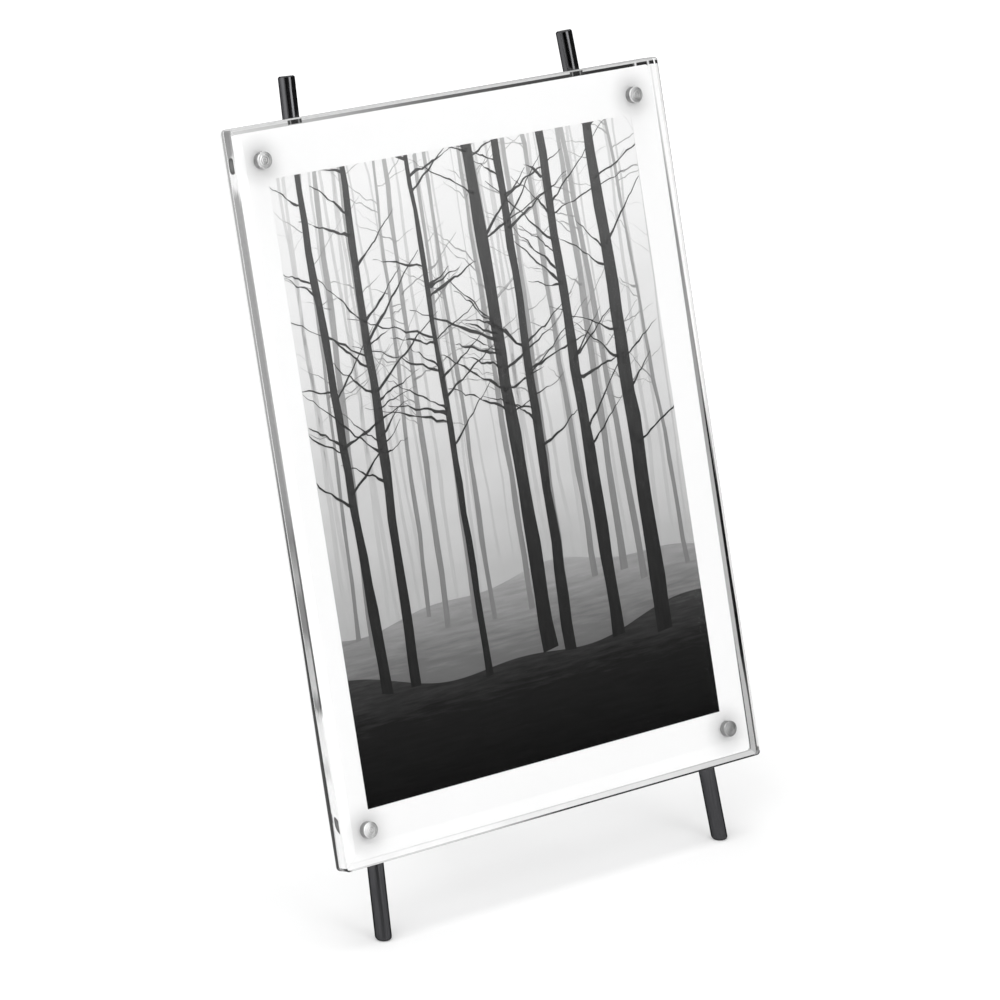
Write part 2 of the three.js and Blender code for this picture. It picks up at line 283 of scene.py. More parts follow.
def finish_of(name, **sockets):
    """A material with one Principled shader, and its tree for the patterns that feed it."""
    material = bpy.data.materials.new(name)
    tree = empty_tree(material)
    named = {key.replace("_", " "): value for key, value in sockets.items()}
    shader = add_node(tree, "ShaderNodeBsdfPrincipled", named=named)
    add_node(tree, "ShaderNodeOutputMaterial", shader)
    return material, tree, shader


sharp_from = math.radians(35)


def linked_object(name, mesh, material=None):
    """An object of a mesh, shaded smooth but for its sharp edges, in one material."""
    mesh.shade_smooth()
    mesh.set_sharp_from_angle(angle=sharp_from)
    if material:
        mesh.materials.clear()
        mesh.materials.append(material)
    made = bpy.data.objects.new(name, mesh)
    bpy.context.scene.collection.objects.link(made)
    return made


def skin_over(name, rings, place, material):
    """A closed mesh over rings of local points, which turn anticlockwise seen from the last ring."""
    shape = bmesh.new()
    rows = [[shape.verts.new(place @ Vector(point)) for point in ring] for ring in rings]
    for low, high in zip(rows, rows[1:]):
        for this in range(len(low)):
            following = (this + 1) % len(low)
            shape.faces.new((low[this], low[following], high[following], high[this]))
    shape.faces.new(list(reversed(rows[0])))
    shape.faces.new(rows[-1])
    mesh = bpy.data.meshes.new(name)
    shape.to_mesh(mesh)
    shape.free()
    return linked_object(name, mesh, material)


# The two panels are cast acrylic sheet, sawn to size, with polished edges and tiny bevels. Light that
# runs along inside them leaves at the edges, so these look pale and streaked, and not clear. That light,
# the shade and reflections in the edges, and what is seen through them are painted into the colours of
# the edges, the bevels and the margin beside the sheet.
bevel, corner_radius, sheet_inset, sheet_shift = 0.35, 1.2, 2, -0.4
corner_steps, bevel_steps, hole_sides = 8, 3, 64
face_slot, edge_slot, bevel_slot, margin_slot = range(4)
acrylic_ior = 1.49
flamed = {"Roughness": 0.2, "Specular_IOR_Level": 0.25, "IOR": acrylic_ior}


def rounded_outline(half_width, half_height, radius, y):
    """A ring of points along a rectangle with rounded corners, from its top right one."""
    ring = []
    for quarter, (across, upward) in enumerate(((1, 1), (-1, 1), (-1, -1), (1, -1))):
        for step in range(corner_steps + 1):
            turn = math.pi / 2 * (quarter + step / corner_steps)
            ring.append((
                across * (half_width - radius) + radius * math.cos(turn), y,
                upward * (half_height - radius) + radius * math.sin(turn),
            ))
    return ring


def acrylic_plate(name, thickness, back, holes, banded, materials):
    """A bevelled plate. holes are (x, z, profile), where a profile is (radius, depth from the front)
    pairs. banded is the face, rear or fore, that has a margin of its own round the sheet."""
    shape = bmesh.new()
    levels = []
    for step in range(bevel_steps + 1):
        turn = math.pi / 2 * step / bevel_steps
        levels.append((bevel * (1 - math.sin(turn)), -bevel * (1 - math.cos(turn))))
    levels += [(inset, -thickness - y) for inset, y in reversed(levels)]
    rows = []
    for inset, y in levels:
        ring = rounded_outline(panel_width / 2 - inset, panel_height / 2 - inset, corner_radius - inset, y)
        rows.append([shape.verts.new(point) for point in ring])
    for level, (rear, fore) in enumerate(zip(rows, rows[1:])):
        for this in range(len(rear)):
            following = (this + 1) % len(rear)
            side = shape.faces.new((rear[this], rear[following], fore[following], fore[this]))
            low_corner = this // (corner_steps + 1) >= 2 and this % (corner_steps + 1) < corner_steps
            side.material_index = edge_slot if level == bevel_steps and not low_corner else bevel_slot
    loops = {"rear": [], "fore": []}
    turns = [2 * math.pi * side / hole_sides for side in range(hole_sides)]
    for x, z, profile in holes:
        hole = []
        for radius, depth in profile:
            round_hole = [(x + radius * math.cos(turn), z + radius * math.sin(turn)) for turn in turns]
            y = depth - thickness
            hole.append([shape.verts.new((across, y, upward)) for across, upward in round_hole])
        for fore, rear in zip(hole, hole[1:]):
            for this in range(hole_sides):
                following = (this + 1) % hole_sides
                shape.faces.new((fore[this], fore[following], rear[following], rear[this]))
        loops["rear"].append(hole[-1])
        loops["fore"].append(hole[0])

    def fill(outlines, material_index):
        """Fills what lies between the outlines with triangles of one material."""
        edges = []
        for outline in outlines:
            for this, vertex in enumerate(outline):
                pair = (vertex, outline[(this + 1) % len(outline)])
                edges.append(shape.edges.get(pair) or shape.edges.new(pair))
        made = bmesh.ops.triangle_fill(shape, edges=edges, use_beauty=True)
        for piece in made["geom"]:
            if isinstance(piece, bmesh.types.BMFace):
                piece.material_index = material_index

    for side, outer in (("rear", rows[0]), ("fore", rows[-1])):
        if side == banded:
            round_sheet = rounded_outline(
                panel_width / 2 - sheet_inset, panel_height / 2 - sheet_inset, corner_radius, outer[0].co.y,
            )
            inner = [shape.verts.new((x + sheet_shift, y, z)) for x, y, z in round_sheet]
            fill([outer, inner], margin_slot)
            fill([inner, *loops[side]], face_slot)
        else:
            fill([outer, *loops[side]], face_slot)
    bmesh.ops.transform(shape, matrix=stand @ Matrix.Translation((0, back, panel_middle)), verts=shape.verts)
    bmesh.ops.recalc_face_normals(shape, faces=shape.faces)
    mesh = bpy.data.meshes.new(name)
    shape.to_mesh(mesh)
    shape.free()
    plate = linked_object(name, mesh)
    for material in materials:
        mesh.materials.append(material)
    plate.visible_shadow = False
    plate.visible_diffuse = False
    return plate


def clear_acrylic(name, tint):
    """Cast acrylic, clear all through, with a polished face that years of wiping left a little uneven."""
    material, tree, shader = finish_of(name, Base_Color=tint, IOR=acrylic_ior, Transmission_Weight=1.0)
    wiping, most_haze = blotches(tree, on_stand(tree), (60, 60, 18)), 0.012
    feed(tree, add_node(tree, "ShaderNodeMapRange", wiping, 0.45, 0.8, 0.0, most_haze), shader, "Roughness")
    return material


magnet_low, magnet_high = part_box("magnet_front_top_left")
magnet_radius = (magnet_high.x - magnet_low.x) * 1000 / 2
magnet_inset = 10


def nearer_side(tree, x, z):
    """1 where the left or right side of a panel is nearer than its top and bottom, and 0 elsewhere."""
    from_side, from_end = [
        add_node(
            tree, "ShaderNodeMath", size / 2, add_node(tree, "ShaderNodeMath", value, operation="ABSOLUTE"),
            operation="SUBTRACT",
        )
        for value, size in ((x, panel_width), (z, panel_height))
    ]
    return add_node(tree, "ShaderNodeMath", from_side, from_end, operation="LESS_THAN")


def by_side(tree, place, left, right, top, bottom):
    """A tone for each side of a panel. Those of the left and right sides are given from the bottom to
    the top, and those of the top and bottom from left to right."""
    x, _, z = add_node(tree, "ShaderNodeSeparateXYZ", place).outputs
    wandering, most = blotches(tree, place, (5, 0.8, 5), 3.0, 0.6), 0.03
    across, upward = [
        swayed(tree, add_node(tree, "ShaderNodeMapRange", value, -size / 2, size / 2), wandering, most)
        for value, size in ((x, panel_width), (z, panel_height))
    ]
    sides, ends = [
        add_node(
            tree, "ShaderNodeMix", add_node(tree, "ShaderNodeMath", value, 0.0, operation="GREATER_THAN"),
            add_node(tree, "ShaderNodeValToRGB", along, stops=low),
            add_node(tree, "ShaderNodeValToRGB", along, stops=high), data_type="RGBA",
        )
        for value, along, low, high in ((x, upward, left, right), (z, across, bottom, top))
    ]
    return add_node(tree, "ShaderNodeMix", nearer_side(tree, x, z), ends, sides, data_type="RGBA")


def streaked(tree, place, tone, mottle_share, streak_share):
    """A tone with fine mottling, and with streaks that run along the edges."""
    shade = swayed(tree, 1.0, blotches(tree, place, (1.4, 1.0, 1.4), 3.0, 0.7), mottle_share)
    shade = swayed(tree, shade, blotches(tree, place, (22, 0.5, 22), 3.0, 0.6), streak_share)
    return add_node(tree, "ShaderNodeVectorMath", tone, shade, operation="SCALE")


def from_magnet(tree, place, to_left=0.0, down=0.0):
    """The distance from the axis of the nearest magnet, or from a line beside each axis."""
    x, _, z = add_node(tree, "ShaderNodeSeparateXYZ", place).outputs
    from_middle = [
        add_node(
            tree, "ShaderNodeMath", add_node(tree, "ShaderNodeMath", value, shift, operation="ADD"),
            operation="ABSOLUTE",
        )
        for value, shift in ((x, to_left), (z, down))
    ]
    aside, upright = [
        add_node(tree, "ShaderNodeMath", value, size / 2 - magnet_inset, operation="SUBTRACT")
        for value, size in zip(from_middle, (panel_width, panel_height))
    ]
    squares = add_node(
        tree, "ShaderNodeMath", aside, aside,
        add_node(tree, "ShaderNodeMath", upright, upright, operation="MULTIPLY"), operation="MULTIPLY_ADD",
    )
    return add_node(tree, "ShaderNodeMath", squares, operation="SQRT")


def rear_line(tree, place, tone):
    """The left edge of the rear panel is painted pale for the light that leaves it, but for a thin line of
    painted shade, which drifts back towards the foot and widens there."""
    x, y, z = add_node(tree, "ShaderNodeSeparateXYZ", place).outputs
    deep = add_node(tree, "ShaderNodeMath", y, rear_back - rear_thickness, operation="SUBTRACT")
    line_depth = add_node(tree, "ShaderNodeMapRange", z, -100, -40, 0.8, 0.2)
    off_line = add_node(
        tree, "ShaderNodeMath", add_node(tree, "ShaderNodeMath", deep, line_depth, operation="SUBTRACT"),
        operation="ABSOLUTE",
    )
    widening = add_node(tree, "ShaderNodeMapRange", z, -90, -30, 0.4, 0.0)
    beside = add_node(
        tree, "ShaderNodeMapRange",
        add_node(tree, "ShaderNodeMath", off_line, widening, operation="SUBTRACT"), 0.25, 0.4,
    )
    left = add_node(tree, "ShaderNodeMapRange", x, 1 - panel_width / 2, 1.2 - panel_width / 2, 1.0, 0.0)
    painted_light_share = add_node(tree, "ShaderNodeMath", beside, left, operation="MULTIPLY")
    return add_node(tree, "ShaderNodeMix", painted_light_share, tone, "f2f2f2", data_type="RGBA")


def right_end_lines(tree, place, tone):
    """The front panel's right edge is seen from inside, and what it shows is a painted reflection: a faint
    line along its fore side, a black one that goes with the painted mirrored line behind it, and dark ends."""
    x, y, z = add_node(tree, "ShaderNodeSeparateXYZ", place).outputs
    deep = add_node(tree, "ShaderNodeMath", y, front_back - front_thickness, operation="SUBTRACT")
    right = add_node(tree, "ShaderNodeMapRange", x, panel_width / 2 - 1.3, panel_width / 2 - 1.1)
    fore_side, fore_rise = (
        add_node(tree, "ShaderNodeMapRange", deep, 0.9, 1.3, 1.0, 0.0),
        add_node(tree, "ShaderNodeMapRange", z, -10, 90, 0.04, 1.0),
    )
    faint = add_node(tree, "ShaderNodeMath", fore_side, fore_rise, operation="MULTIPLY")
    rear_side = add_node(tree, "ShaderNodeMapRange", deep, front_thickness - 0.9, front_thickness - 0.6)
    black_start, black_end = (
        add_node(tree, "ShaderNodeMapRange", z, -88, -78, 0.6, 1.0),
        add_node(tree, "ShaderNodeMapRange", z, -58, -48, 1.0, 0.0),
    )
    black = add_node(
        tree, "ShaderNodeMath", rear_side,
        add_node(tree, "ShaderNodeMath", black_end, black_start, operation="MULTIPLY"), operation="MULTIPLY",
    )
    top_depth = add_node(tree, "ShaderNodeMath", panel_height / 2, z, operation="SUBTRACT")
    top_start, top_end = (
        add_node(tree, "ShaderNodeMapRange", top_depth, 1.0, 1.15),
        add_node(tree, "ShaderNodeMapRange", top_depth, 2.0, 2.15, 1.0, 0.0),
    )
    dark_top = add_node(tree, "ShaderNodeMath", top_start, top_end, operation="MULTIPLY")
    low_end = add_node(
        tree, "ShaderNodeMapRange", z, 2.2 - panel_height / 2, 2.6 - panel_height / 2, 0.8, 0.0,
    )
    for share, line_tone in ((faint, "404040"), (black, "101010"), (dark_top, "1c1c1c"), (low_end, "484848")):
        line_share = add_node(tree, "ShaderNodeMath", share, right, operation="MULTIPLY")
        tone = add_node(tree, "ShaderNodeMix", line_share, tone, line_tone, data_type="RGBA")
    return tone


def acrylic_edge(name, tones, magnet_shadow_patches=(), lined=False):
    """A sawn and flame polished edge, whose tones are painted light. The magnets stand in the way of the light
    inside the panel, so their painted shadows show as dark patches on the left edge, given as (height,
    slant, width, rise, depth share)."""
    material, tree, shader = finish_of(name, **flamed)
    place = on_stand(tree)
    tone = streaked(tree, place, by_side(tree, place, *tones), mottle_share=0.3, streak_share=0.15)
    tone = rear_line(tree, place, tone) if lined else right_end_lines(tree, place, tone)
    for height, slant, width, rise, depth in magnet_shadow_patches:
        x, y, z = add_node(tree, "ShaderNodeSeparateXYZ", place).outputs
        on_left = add_node(
            tree, "ShaderNodeMapRange", x, 0.5 - panel_width / 2, 0.6 - panel_width / 2, 1.0, 0.0,
        )
        deep = add_node(
            tree, "ShaderNodeMath", y, front_back - front_thickness * depth, operation="SUBTRACT",
        )
        aside = add_node(tree, "ShaderNodeMath", deep, width / 2, operation="DIVIDE")
        unslanted = add_node(tree, "ShaderNodeMath", deep, -slant, z, operation="MULTIPLY_ADD")
        along = add_node(
            tree, "ShaderNodeMath",
            add_node(tree, "ShaderNodeMath", unslanted, height, operation="SUBTRACT"), rise / 2,
            operation="DIVIDE",
        )
        cubes = [
            add_node(
                tree, "ShaderNodeMath", add_node(tree, "ShaderNodeMath", value, operation="ABSOLUTE"), 3.0,
                operation="POWER",
            )
            for value in (aside, along)
        ]
        out = add_node(tree, "ShaderNodeMath", *cubes, operation="ADD")
        inside = add_node(tree, "ShaderNodeMapRange", out, 0.75, 1.1, 1.0, 0.0)
        patch = add_node(tree, "ShaderNodeMath", inside, on_left, operation="MULTIPLY")
        shadow_patch_tone = add_node(
            tree, "ShaderNodeValToRGB", add_node(tree, "ShaderNodeMapRange", out, 0.0, 1.0),
            stops=((0, "707070"), (0.5, "4c4c4c"), (1, "808080")),
        )
        tone = add_node(tree, "ShaderNodeMix", patch, tone, shadow_patch_tone, data_type="RGBA")
    feed(tree, tone, shader, "Base Color")
    return material


def acrylic_bevel(name, middle, fore_tones, rear_tones, lined=False):
    """The scraped bevels along an edge, which turn the light away and so draw broken lines, painted into their
    colour as painted light and shade, with painted shade across both lower corners. middle is where the
    panel's thickness is halved, between the fore bevel and the rear one."""
    material, tree, shader = finish_of(name, **flamed)
    place = on_stand(tree)
    x, y, z = add_node(tree, "ShaderNodeSeparateXYZ", place).outputs
    fore, rear = [by_side(tree, place, *tones) for tones in (fore_tones, rear_tones)]
    tone = add_node(
        tree, "ShaderNodeMix", add_node(tree, "ShaderNodeMath", y, middle, operation="GREATER_THAN"), fore,
        rear, data_type="RGBA",
    )
    if lined:
        tone = rear_line(tree, place, tone)
    aside = add_node(tree, "ShaderNodeMath", x, operation="ABSOLUTE")
    near_side = add_node(tree, "ShaderNodeMapRange", aside, panel_width / 2 - 1.3, panel_width / 2 - 1.15)
    near_foot = add_node(
        tree, "ShaderNodeMapRange", z, 1.15 - panel_height / 2, 1.3 - panel_height / 2, 1.0, 0.0,
    )
    corner_share = add_node(tree, "ShaderNodeMath", near_side, near_foot, operation="MULTIPLY")
    # Painted shade: the lower corners, seen through both panels, are painted dark at the fore and rear sides and
    # grey between.
    through_both = add_node(tree, "ShaderNodeMapRange", y, front_back - front_thickness, rear_back)
    painted_corner_shade = add_node(
        tree, "ShaderNodeValToRGB", through_both,
        stops=(
            (0, "202020"), (0.2, "303030"), (0.35, "8c8c8c"), (0.7, "8c8c8c"), (0.8, "303030"),
            (1, "242424"),
        ),
    )
    tone = add_node(tree, "ShaderNodeMix", corner_share, tone, painted_corner_shade, data_type="RGBA")
    feed(tree, streaked(tree, place, tone, mottle_share=0.2, streak_share=0.25), shader, "Base Color")
    return material


def margin_reflection():
    """The inner face beside the sheet, with a painted reflection of the polished edges: a black line that
    narrows up the right side, a dark band along the top, where the upper ends of the front legs show as
    painted dark squares, and a pale band along the bottom with a dark line at its foot."""
    material, tree, shader = finish_of(
        "mirrored_acrylic_edge_painted_reflection", Roughness=0.1, Specular_IOR_Level=0.1, IOR=acrylic_ior,
    )
    place = on_stand(tree)
    x, _, z = add_node(tree, "ShaderNodeSeparateXYZ", place).outputs
    upward = add_node(tree, "ShaderNodeMapRange", z, -panel_height / 2, panel_height / 2)
    across = add_node(tree, "ShaderNodeMapRange", x, -panel_width / 2, panel_width / 2)

    side_depth = add_node(tree, "ShaderNodeMath", panel_width / 2, x, operation="SUBTRACT")
    line_start = add_node(tree, "ShaderNodeMapRange", z, -60, 95, -0.3, 1.35)
    widening, narrowing = (
        add_node(tree, "ShaderNodeMapRange", z, -92, -74, 0.4, 1.2),
        add_node(tree, "ShaderNodeMapRange", z, -60, 25, 0.0, -0.8),
    )
    line_width = add_node(tree, "ShaderNodeMath", widening, narrowing, operation="ADD")
    past = add_node(tree, "ShaderNodeMath", side_depth, line_start, operation="SUBTRACT")
    past_line = add_node(tree, "ShaderNodeMath", past, line_width, operation="SUBTRACT")
    in_line = add_node(tree, "ShaderNodeMapRange", past_line, -0.12, 0.12, 1.0, 0.0)
    band = add_node(
        tree, "ShaderNodeValToRGB", upward,
        stops=(
            (0, "b4b4b4"), (0.35, "b0b0b0"), (0.5, "9c9c9c"), (0.8, "868686"), (0.92, "c8c8c8"),
            (1, "f0f0f0"),
        ),
    )
    line = add_node(
        tree, "ShaderNodeValToRGB", upward,
        stops=(
            (0, "585858"), (0.1, "4a4a4a"), (0.15, "080808"), (0.48, "080808"), (0.54, "808080"),
            (0.75, "a0a0a0"), (0.9, "d0d0d0"), (1, "f0f0f0"),
        ),
    )
    banded_line = add_node(tree, "ShaderNodeMix", in_line, band, line, data_type="RGBA")
    right = add_node(
        tree, "ShaderNodeMix", add_node(tree, "ShaderNodeMapRange", past, -0.05, 0.1), "f4f4f4", banded_line,
        data_type="RGBA",
    )
    # Painted shade: a dark line beside the sheet's right edge near the foot.
    by_sheet, low_down = (
        add_node(tree, "ShaderNodeMapRange", side_depth, 1.98, 2.1),
        add_node(tree, "ShaderNodeMapRange", z, -80, -66, 1.0, 0.0),
    )
    right = add_node(
        tree, "ShaderNodeMix", add_node(tree, "ShaderNodeMath", by_sheet, low_down, operation="MULTIPLY"),
        right, "404040", data_type="RGBA",
    )
    band_width = add_node(tree, "ShaderNodeMapRange", z, -40, 60, 2.4, 1.95)
    past_band = add_node(tree, "ShaderNodeMath", side_depth, band_width, operation="SUBTRACT")
    right = add_node(
        tree, "ShaderNodeMix", add_node(tree, "ShaderNodeMapRange", past_band, -0.06, 0.06), right, "f8f8f8",
        data_type="RGBA",
    )

    top_depth = add_node(tree, "ShaderNodeMath", panel_height / 2, z, operation="SUBTRACT")
    dark_band = add_node(
        tree, "ShaderNodeValToRGB", across,
        stops=(
            (0, "c8c8c8"), (0.2, "b0b0b0"), (0.45, "686868"), (0.62, "4c4c4c"), (0.8, "2c2c2c"),
            (0.949, "1c1c1c"), (0.951, "f0f0f0"), (0.953, "f0f0f0"), (0.955, "1c1c1c"), (0.981, "1c1c1c"),
            (0.983, "f0f0f0"), (0.986, "f0f0f0"), (0.988, "1c1c1c"), (1, "1c1c1c"),
        ),
    )
    pale_band = add_node(
        tree, "ShaderNodeValToRGB", add_node(tree, "ShaderNodeMapRange", top_depth, 0.0, 1.0),
        stops=(
            (0, "8c8c8c"), (0.35, "8c8c8c"), (0.45, "d8d8d8"), (0.7, "d8d8d8"), (0.8, "b4b4b4"),
            (0.9, "dcdcdc"), (1, "dcdcdc"),
        ),
    )
    # Painted view: the upper ends of the front legs, seen through the top band, are painted in as dark squares.
    rod_top, mirrored_shift = foot_x - (panel_above_feet + panel_height) * math.tan(splay), 2.9
    from_between = add_node(
        tree, "ShaderNodeMath", add_node(tree, "ShaderNodeMath", x, mirrored_shift, operation="ADD"),
        operation="ABSOLUTE",
    )
    beside_rod = add_node(
        tree, "ShaderNodeMath",
        add_node(tree, "ShaderNodeMath", from_between, rod_top, operation="SUBTRACT"), operation="ABSOLUTE",
    )
    painted_rod_ends = add_node(
        tree, "ShaderNodeValToRGB", add_node(tree, "ShaderNodeMapRange", beside_rod, 0, leg_radius),
        stops=((0, "101010"), (0.45, "1c1c1c"), (0.6, "8c8c8c"), (0.7, "303030"), (1, "444444")),
    )
    top = add_node(
        tree, "ShaderNodeMix", add_node(tree, "ShaderNodeMapRange", top_depth, 1.0, 1.15), pale_band,
        dark_band, data_type="RGBA",
    )
    over_rod = add_node(
        tree, "ShaderNodeMapRange", beside_rod, leg_radius - 0.15, leg_radius + 0.05, 1.0, 0.0,
    )
    rod_share = add_node(
        tree, "ShaderNodeMath", over_rod,
        add_node(tree, "ShaderNodeMapRange", top_depth, 1.7, 1.85, 1.0, 0.0), operation="MULTIPLY",
    )
    top = add_node(tree, "ShaderNodeMix", rod_share, top, painted_rod_ends, data_type="RGBA")

    bottom_depth = add_node(tree, "ShaderNodeMath", z, panel_height / 2, operation="ADD")
    face = add_node(
        tree, "ShaderNodeValToRGB", across,
        stops=((0, "f6f6f6"), (0.3, "f0f0f0"), (0.6, "dedede"), (1, "cecece")),
    )
    low_line = add_node(
        tree, "ShaderNodeValToRGB", across,
        stops=((0, "e0e0e0"), (0.35, "c0c0c0"), (0.5, "303030"), (1, "141414")),
    )
    inner_line = add_node(
        tree, "ShaderNodeValToRGB", across, stops=((0, "f4f4f4"), (0.3, "d8d8d8"), (1, "acacac")),
    )
    bottom = add_node(
        tree, "ShaderNodeMix", add_node(tree, "ShaderNodeMapRange", bottom_depth, 0.2, 0.35), low_line, face,
        data_type="RGBA",
    )
    bottom = add_node(
        tree, "ShaderNodeMix", add_node(tree, "ShaderNodeMapRange", bottom_depth, 1.65, 1.8), bottom,
        inner_line, data_type="RGBA",
    )

    on_right, on_top = [
        add_node(tree, "ShaderNodeMath", value, 0.0, operation="GREATER_THAN") for value in (x, z)
    ]
    in_top_band = add_node(
        tree, "ShaderNodeMath", on_right,
        add_node(tree, "ShaderNodeMath", top_depth, 2.1, operation="LESS_THAN"), operation="MULTIPLY",
    )
    on_side = add_node(
        tree, "ShaderNodeMath", nearer_side(tree, x, z),
        add_node(tree, "ShaderNodeMath", 1.0, in_top_band, operation="SUBTRACT"), operation="MULTIPLY",
    )
    sides, ends = (
        add_node(tree, "ShaderNodeMix", on_right, "e6e6e6", right, data_type="RGBA"),
        add_node(tree, "ShaderNodeMix", on_top, bottom, top, data_type="RGBA"),
    )
    tone = add_node(tree, "ShaderNodeMix", on_side, ends, sides, data_type="RGBA")
    feed(tree, streaked(tree, place, tone, mottle_share=0.1, streak_share=0.3), shader, "Base Color")
    return material


# Painted light and shade: the tones of the bevels, pale where they pass light and dark where they turn it away.
left_bevel_tones = (
    (0, "e8e8e8"), (0.21, "f0f0f0"), (0.225, "505050"), (0.45, "6a6a6a"), (0.5, "a0a0a0"), (0.9, "a4a4a4"),
    (0.92, "e8e8e8"), (0.95, "e8e8e8"), (0.97, "a0a0a0"), (1, "909090"),
)
low_bevel_tones = (
    (0, "2c2c2c"), (0.008, "4a4a4a"), (0.016, "dcdcdc"), (0.35, "bcbcbc"), (0.5, "2c2c2c"), (1, "101010"),
)
bevel_line = acrylic_bevel(
    "scraped_front_bevel_painted_light", front_back - front_thickness / 2,
    (
        left_bevel_tones, ((0, "f0f0f0"), (0.6, "dcdcdc"), (1, "a8a8a8")), ((0, "c4c4c4"), (1, "a8a8a8")),
        low_bevel_tones,
    ),
    (
        left_bevel_tones,
        (
            (0, "585858"), (0.1, "4a4a4a"), (0.15, "0c0c0c"), (0.36, "141414"), (0.4, "3c3c3c"),
            (0.44, "8c8c8c"), (0.49, "e0e0e0"), (0.52, "fafafa"), (1, "fafafa"),
        ),
        ((0, "c4c4c4"), (1, "a8a8a8")), low_bevel_tones,
    ),
)
rear_low_tones = ((0, "4a4a4a"), (0.1, "b0b0b0"), (0.5, "6a6a6a"), (1, "404040"))
left_line_tones = (
    (0, "383838"), (0.3, "404040"), (0.42, "5a5a5a"), (0.52, "808080"), (0.6, "a0a0a0"), (1, "a8a8a8"),
)
dark_bevel_line = acrylic_bevel("scraped_rear_bevel_painted_light", rear_back - rear_thickness / 2, *[
    (left_line_tones, ((0, "d0d0d0"), (1, "c0c0c0")), ((0, "b0b0b0"), (1, "9c9c9c")), rear_low_tones),
] * 2, lined=True)
magnet_grip = 0.03
magnet_corners = [
    (across * (panel_width / 2 - magnet_inset), upward * (panel_height / 2 - magnet_inset))
    for across in (-1, 1) for upward in (-1, 1)
]
screw_from_edge = 28
screw_places = [
    (side * (foot_x - height * math.tan(splay)), height) for side in (-1, 1)
    for height in (panel_above_feet + screw_from_edge, panel_above_feet + panel_height - screw_from_edge)
]
gripping = magnet_radius - magnet_grip
# Painted light: the front edge is painted pale where light leaves it, grey where it shows reflections.
left_edge_tones = (
    (0, "f6f6f6"), (0.12, "f2f2f2"), (0.14, "d0d0d0"), (0.16, "f0f0f0"), (0.2, "e4e4e4"), (0.218, "c4c4c4"),
    (0.224, "7c7c7c"), (0.235, "8c8c8c"), (0.25, "c4c4c4"), (0.3, "b4b4b4"), (0.33, "7a7a7a"),
    (0.37, "7c7c7c"), (0.4, "a4a4a4"), (0.45, "7a7a7a"), (0.48, "8a8a8a"), (0.55, "929292"), (0.8, "9a9a9a"),
    (0.91, "a0a0a0"), (0.925, "f0f0f0"), (0.957, "f0f0f0"), (0.965, "929292"), (1, "888888"),
)
front_edge = acrylic_edge("flame_polished_front_edge_painted_light", (
    left_edge_tones, ((0, "f6f6f6"), (1, "f2f2f2")),
    ((0, "c8c8c8"), (0.4, "c0c0c0"), (0.65, "a0a0a0"), (1, "989898")),
    ((0, "dcdcdc"), (0.38, "b8b8b8"), (0.6, "585858"), (1, "444444")),
), magnet_shadow_patches=((94.6, 0.0, 2.9, 4.8, 0.55), (-91.3, 0.8, 2.9, 4.2, 0.72)))
front_holes = [(x, z, ((gripping, 0), (gripping, front_thickness))) for x, z in magnet_corners]
front_plate = acrylic_plate(
    "front_panel_clear", front_thickness, front_back, front_holes, banded="rear",
    materials=(clear_acrylic("cast_acrylic", "fdfdfd"), front_edge, bevel_line, margin_reflection()),
)
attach(front_plate, "front_cover")
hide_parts("front_panel")

screw_head, screw_shank, screw_room = 1.9, 1.0, 0.1
countersink = (
    (screw_head + screw_room, 0), (screw_head + screw_room, screw_room),
    (screw_shank + screw_room, screw_room + screw_head - screw_shank),
    (screw_shank + screw_room, rear_thickness),
)
rear_holes = [(x, z, ((gripping, 0), (gripping, rear_thickness))) for x, z in magnet_corners]
rear_holes += [(x, height - panel_middle, countersink) for x, height in screw_places]
# Painted light: the rear edge's tones stand for the light that leaves it and the reflections in it.
rear_edge = acrylic_edge("flame_polished_rear_edge_painted_light", (
    left_line_tones, ((0, "e4e4e4"), (1, "d8d8d8")), ((0, "b8b8b8"), (1, "a0a0a0")),
    ((0, "c0c0c0"), (1, "909090")),
), lined=True)
rear_plate = acrylic_plate(
    "rear_panel_clear", rear_thickness, rear_back, rear_holes, banded=None,
    materials=(clear_acrylic("cast_acrylic_thin", "f0f2f2"), rear_edge, dark_bevel_line),
)
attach(rear_plate, "stand")
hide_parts("rear_panel")


# The sheet is heavy white photo paper with a satin face, cut a little smaller than the panels. Its
# picture area fades from pale mist at the top to shadow at the foot, and leaves a white border.
picture_width, picture_height = 128, 178.5
sheet_edge, sheet_corner = 0.05, 1.2
ink_step = 0.012


def satin_paper(name):
    """Satin photo paper: a soft sheen over a fine grain, which is drawn as coarse as it needs to show."""
    material, tree, shader = finish_of(name, Roughness=0.5, Specular_IOR_Level=0.02)
    grain = blotches(tree, on_stand(tree), (0.5, 0.5, 0.5))
    bump = add_node(tree, "ShaderNodeBump", named={"Height": grain, "Strength": 0.05, "Distance": 0.0001})
    feed(tree, bump, shader, "Normal")
    return material, tree, shader


